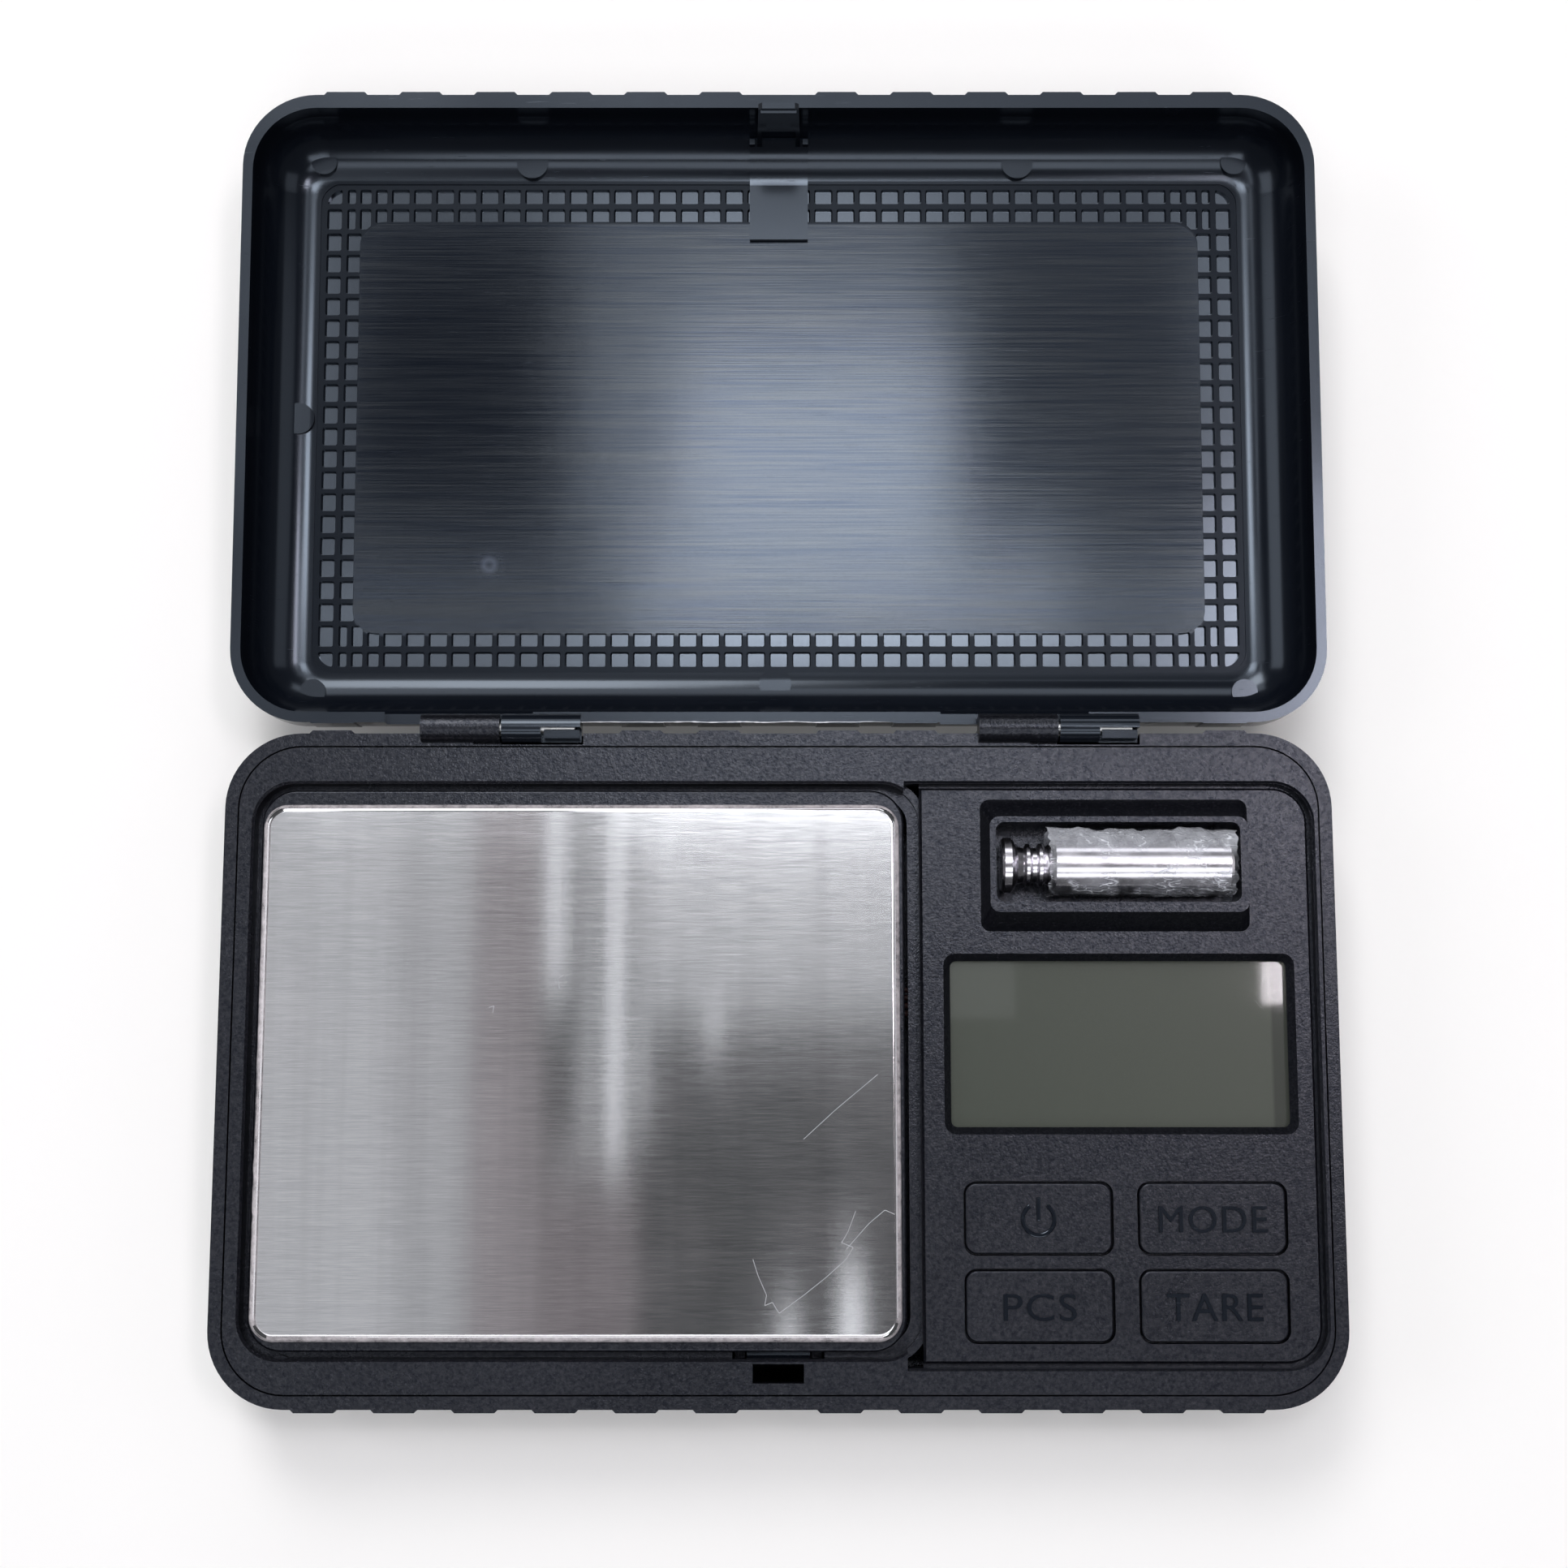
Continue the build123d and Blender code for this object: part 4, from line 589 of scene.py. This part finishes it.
def prism(name, outlines, z0, z1):
    """Flat plates with the given outlines, from one height to another."""
    vertices, faces = [], []
    for outline in outlines:
        start, n = len(vertices), len(outline)
        vertices += [(x, y, z0) for x, y in outline] + [(x, y, z1) for x, y in outline]
        faces.append([start + i for i in reversed(range(n))])
        faces.append([start + n + i for i in range(n)])
        faces += [[start + i, start + (i + 1) % n, start + n + (i + 1) % n, start + n + i]
                  for i in range(n)]
    return mesh_piece(name, vertices, faces, smooth=False)


def rounded_loop(x0, x1, y0, y1, corner):
    """Points round a rounded rectangle, anticlockwise."""
    points = []
    steps = 10
    centres = ((x1 - corner, y1 - corner), (x0 + corner, y1 - corner),
               (x0 + corner, y0 + corner), (x1 - corner, y0 + corner))
    for quarter, (cx, cy) in enumerate(centres):
        for i in range(steps + 1):
            angle = math.pi / 2 * (quarter + i / steps)
            points.append((cx + corner * math.cos(angle), cy + corner * math.sin(angle)))
    return points


def along(loop, step):
    """The loop with extra points, so that none are further apart than the step."""
    points = []
    for i, a in enumerate(loop):
        b = loop[(i + 1) % len(loop)]
        parts = max(1, int(math.dist(a, b) / step))
        points += [(a[0] + (b[0] - a[0]) * k / parts, a[1] + (b[1] - a[1]) * k / parts)
                   for k in range(parts)]
    return points


def film_profile(low, top):
    """The film's fold: how far in from the edge and how high, from its hem to the pan's flat top."""
    steps = 6
    profile = [(0.0, low + 0.3 * MM), (0.0, top - FILM_BEND)]
    for i in range(1, steps + 1):
        angle = math.pi / 2 * i / steps
        profile.append((FILM_BEND * (1 - math.cos(angle)), top - FILM_BEND * (1 - math.sin(angle))))
    return profile + [(1.8 * MM, top), (4.0 * MM, top)]


def pan_film_piece():
    """The clear film over the pan, puckered along the fold and looser on the left."""
    low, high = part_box("pan_film")
    profile = film_profile(low.z, high.z - FILM_GAP)
    base = along(rounded_loop(low.x, high.x, low.y, high.y, FILM_CORNER), FILM_STEP)
    centre = (low + high) / 2
    half = (high - low) / 2
    loose_y = [low.y + part * (high.y - low.y) for part in FILM_LOOSE]
    vertices = []
    for row, (inset, z) in enumerate(profile):
        for x, y in base:
            loose = x < low.x + FILM_BEND and loose_y[0] < y < loose_y[1]
            slack = (0.11 if loose else 0.03) * MM if 0 < row < len(profile) - 1 else 0.0
            moved = inset + noise.noise(Vector((x, y, z)) * 900) * slack
            vertices.append((centre.x + (x - centre.x) * (1 - moved / half.x),
                             centre.y + (y - centre.y) * (1 - moved / half.y), z))
    piece = mesh_piece("pan_film_sheet", vertices, strips(len(profile), len(base), True))
    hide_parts("pan_film")
    finished(piece, "platform", film_clear())


def weight_wrap_piece():
    """Loose crinkled wrap round the weight, slack along the side towards the hinge."""
    low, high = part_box("weight_wrap")
    y, z = (low.y + high.y) / 2, (low.z + high.z) / 2
    radius = (high.y - low.y) / 2 + 0.06 * MM
    x0, x1 = low.x - 1.0 * MM, high.x + 0.35 * MM
    crinkle_depth, slack_depth, ragged_depth = 0.225 * MM, 0.8 * MM, 0.5 * MM
    slack_side = 0.35
    around, lengths = 96, 110
    vertices = []
    for i in range(lengths + 1):
        t = i / lengths
        for j in range(around):
            angle = 2 * math.pi * j / around
            place = Vector((t * 22, math.cos(angle) * 3.0, math.sin(angle) * 3.0))
            crinkle = abs(noise.noise(place * 0.9)) + 0.5 * abs(noise.noise(place * 2.3))
            facing = max(0.0, math.cos(angle - slack_side)) ** 6
            slack = facing * (0.9 + 0.7 * noise.noise(place * 0.5))
            r = radius + crinkle_depth * crinkle + slack_depth * slack
            ragged = ragged_depth * noise.noise(place * 1.7) if i in (0, lengths) else 0.0
            x = x0 + (x1 - x0) * t + ragged
            vertices.append((x, y + r * math.cos(angle), z + r * math.sin(angle)))
    piece = mesh_piece("weight_wrap_film", vertices, strips(lengths + 1, around), smooth=False)
    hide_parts("weight_wrap")
    finished(piece, "weight", wrap_clear())


def from_maker(name, data):
    """A mesh piece made from a text or a curve."""
    maker = bpy.data.objects.new(name + "_maker", data)
    bpy.context.scene.collection.objects.link(maker)
    bpy.context.view_layer.update()
    ready = maker.evaluated_get(bpy.context.evaluated_depsgraph_get())
    mesh = bpy.data.meshes.new_from_object(ready)
    bpy.data.objects.remove(maker)
    piece = bpy.data.objects.new(name, mesh)
    bpy.context.scene.collection.objects.link(piece)
    return piece


def legend_words(name, words, width, height, place, depth):
    """Raised lettering of a given size with its middle at a place."""
    text = bpy.data.curves.new(name, "FONT")
    text.body = words
    text.extrude = 0.5
    text.space_character = 1.08
    text.resolution_u = 6
    piece = from_maker(name, text)
    points = [vertex.co for vertex in piece.data.vertices]
    spans = [(min(point[i] for point in points), max(point[i] for point in points))
             for i in range(3)]
    sizes = (width, height, depth)
    for point in points:
        for i, (low, high) in enumerate(spans):
            point[i] = place[i] + sizes[i] * ((point[i] - low) / (high - low) - 0.5)
    return piece


def power_sign(name, place, depth):
    """The usual on and off sign: an open ring and a bar."""
    radius, half, opening = 1.95 * MM, 0.26 * MM, math.radians(32)
    bar_foot, bar_top = 0.2 * MM, 2.7 * MM
    steps = 40
    angles = [math.pi / 2 + opening + (2 * math.pi - 2 * opening) * i / steps
              for i in range(steps + 1)]
    x, y, z = place
    ring = [(x + (radius + half) * math.cos(a), y + (radius + half) * math.sin(a)) for a in angles]
    ring += [(x + (radius - half) * math.cos(a), y + (radius - half) * math.sin(a))
             for a in reversed(angles)]
    bar = [(x - half, y - bar_foot), (x + half, y - bar_foot), (x + half, y + bar_top),
           (x - half, y + bar_top)]
    return prism(name, [ring, bar], z - depth / 2, z + depth / 2)


def key_legends():
    """The raised legends on the four keys."""
    gloss = smooth_plastic("legend_plastic", 0.14)
    for node, (words, width) in LEGENDS.items():
        low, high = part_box(node)
        place = ((low.x + high.x) / 2, (low.y + high.y) / 2 - 0.1 * MM,
                 high.z + LEGEND_RISE / 2 - LEGEND_SUNK)
        name = node + "_legend"
        if words:
            piece = legend_words(name, words, width * MM, LEGEND_HEIGHT, place, LEGEND_RISE)
        else:
            piece = power_sign(name, place, LEGEND_RISE)
        soften(piece, LEGEND_EDGE)
        finished(piece, node, gloss)


def soften(piece, width):
    """Rounds the sharp edges of a piece a little."""
    bevel = piece.modifiers.new("soft_edges", "BEVEL")
    bevel.width = width
    bevel.segments = 2
    bevel.limit_method = "ANGLE"


def lid_flash():
    """The torn silvery flash along the lid's near edge between the hinges."""
    steps, fading_steps = 90, 12
    x0, x1 = -25.3 * MM, 14.5 * MM
    thickness, thinnest = 0.05 * MM, 0.001 * MM
    upper, lower = [], []
    for i in range(steps + 1):
        x = x0 + (x1 - x0) * i / steps
        y = HINGE.y + 0.80 * MM + noise.noise(Vector((x * 300, 0, 0))) * 0.10 * MM
        fade = min(1.0, (steps - i) / fading_steps)
        ragged = abs(noise.noise(Vector((x * 900, 3, 0))))
        width = (0.06 + 0.22 * ragged) * MM * fade + thinnest
        upper.append((x, y + width / 2))
        lower.append((x, y - width / 2))
    z = RIM_Z + 0.03 * MM
    piece = prism("lid_flash_strip", [upper + lower[::-1]], z, z + thickness)
    finished(piece, "lid", white_mark("flash_white", 0.9))


def scratch_line(name, places, z, radius):
    """A hair-thin raised line through the given places."""
    curve = bpy.data.curves.new(name, "CURVE")
    curve.dimensions = "3D"
    curve.bevel_depth = radius
    curve.bevel_resolution = 1
    line = curve.splines.new("NURBS")
    line.points.add(len(places) - 1)
    for point, (x, y) in zip(line.points, places):
        point.co = (x, y, z, 1)
    line.order_u = 2
    line.use_endpoint_u = True
    return from_maker(name, curve)


def pan_scratches():
    """Fine scratches in the film: most towards the pan's right edge, two short ones near its middle."""
    mark = white_mark("film_scratch", 0.55)
    size = PAN_HIGH - PAN_LOW
    z = PAN_HIGH.z + SCRATCH_RISE
    for i, places in enumerate(PAN_SCRATCHES):
        line = [(PAN_LOW.x + u * size.x, PAN_LOW.y + v * size.y) for u, v in places]
        piece = scratch_line(f"film_scratch_{i}", line, z, SCRATCH_RADIUS)
        finished(piece, "platform", mark)


# ---------------------------------------------------------------- light, floor, camera

def area_light(name, place, target, width, depth, radiance, colour):
    """A flat soft light of a given brightness that faces a target point."""
    data = bpy.data.lights.new(name, "AREA")
    data.shape = "RECTANGLE"
    data.size = width
    data.size_y = depth
    data.color = colour
    data.energy = radiance * math.pi * width * depth
    light = bpy.data.objects.new(name, data)
    bpy.context.scene.collection.objects.link(light)
    light.location = place
    aim = Vector(target) - Vector(place)
    light.rotation_euler = aim.to_track_quat("-Z", "Y").to_euler()


def floor():
    """A plain white table that glows a little, like a light table."""
    mesh = bpy.data.meshes.new("floor")
    half = FLOOR_HALF
    corners = [(-half, -half, 0), (half, -half, 0), (half, half, 0), (-half, half, 0)]
    mesh.from_pydata(corners, [], [(0, 1, 2, 3)])
    piece = bpy.data.objects.new("floor", mesh)
    bpy.context.scene.collection.objects.link(piece)
    s = Shader("floor_paper")
    s.set(Base_Color=(0.86, 0.84, 0.82, 1), Roughness=0.9)
    s.set(Emission_Color=(1, 1, 1, 1), Emission_Strength=FLOOR_GLOW)
    mesh.materials.append(s.material)


def world_light():
    """A dim even surround."""
    world = bpy.data.worlds.new("studio")
    world.use_nodes = True
    bpy.context.scene.world = world
    background = world.node_tree.nodes["Background"]
    background.inputs["Color"].default_value = COOL + (1,)
    background.inputs["Strength"].default_value = SURROUND


def ceiling_panel(name, x0, x1, y0, y1, radiance, colour=COOL):
    """A flat light a metre up that shines straight down, given by its edges."""
    place = ((x0 + x1) / 2, (y0 + y1) / 2, CEILING)
    area_light(name, place, (place[0], place[1], 0), x1 - x0, y1 - y0, radiance, colour)


def studio():
    """The floor, the panels overhead that the steel and the lid mirror, and the soft lights round it."""
    floor()
    world_light()
    for panel in CEILING_PANELS:
        ceiling_panel(*panel)
    for i, (x0, x1, y0, radiance, *end) in enumerate(CEILING_STRIPS):
        ceiling_panel(f"strip_{i}", x0, x1, y0, end[0] if end else STRIP_END, radiance)
    for name, place, width, depth, radiance, colour in SIDE_LIGHTS:
        area_light(name, place, SIDE_AIM, width, depth, radiance, colour)


def camera():
    """The view from above the base."""
    data = bpy.data.cameras.new("camera")
    data.lens = CAMERA_LENS
    data.sensor_width = CAMERA_SENSOR
    data.clip_start = CAMERA_NEAR
    view = bpy.data.objects.new("camera", data)
    bpy.context.scene.collection.objects.link(view)
    view.location = CAMERA_PLACE
    view.rotation_euler = Euler((CAMERA_LEAN, 0, 0))
    bpy.context.scene.camera = view
    bpy.context.scene.view_settings.view_transform = "Standard"


# ---------------------------------------------------------------- the scene

coat_nodes()
pan_film_piece()
weight_wrap_piece()
key_legends()
lid_flash()
pan_scratches()
studio()
camera()
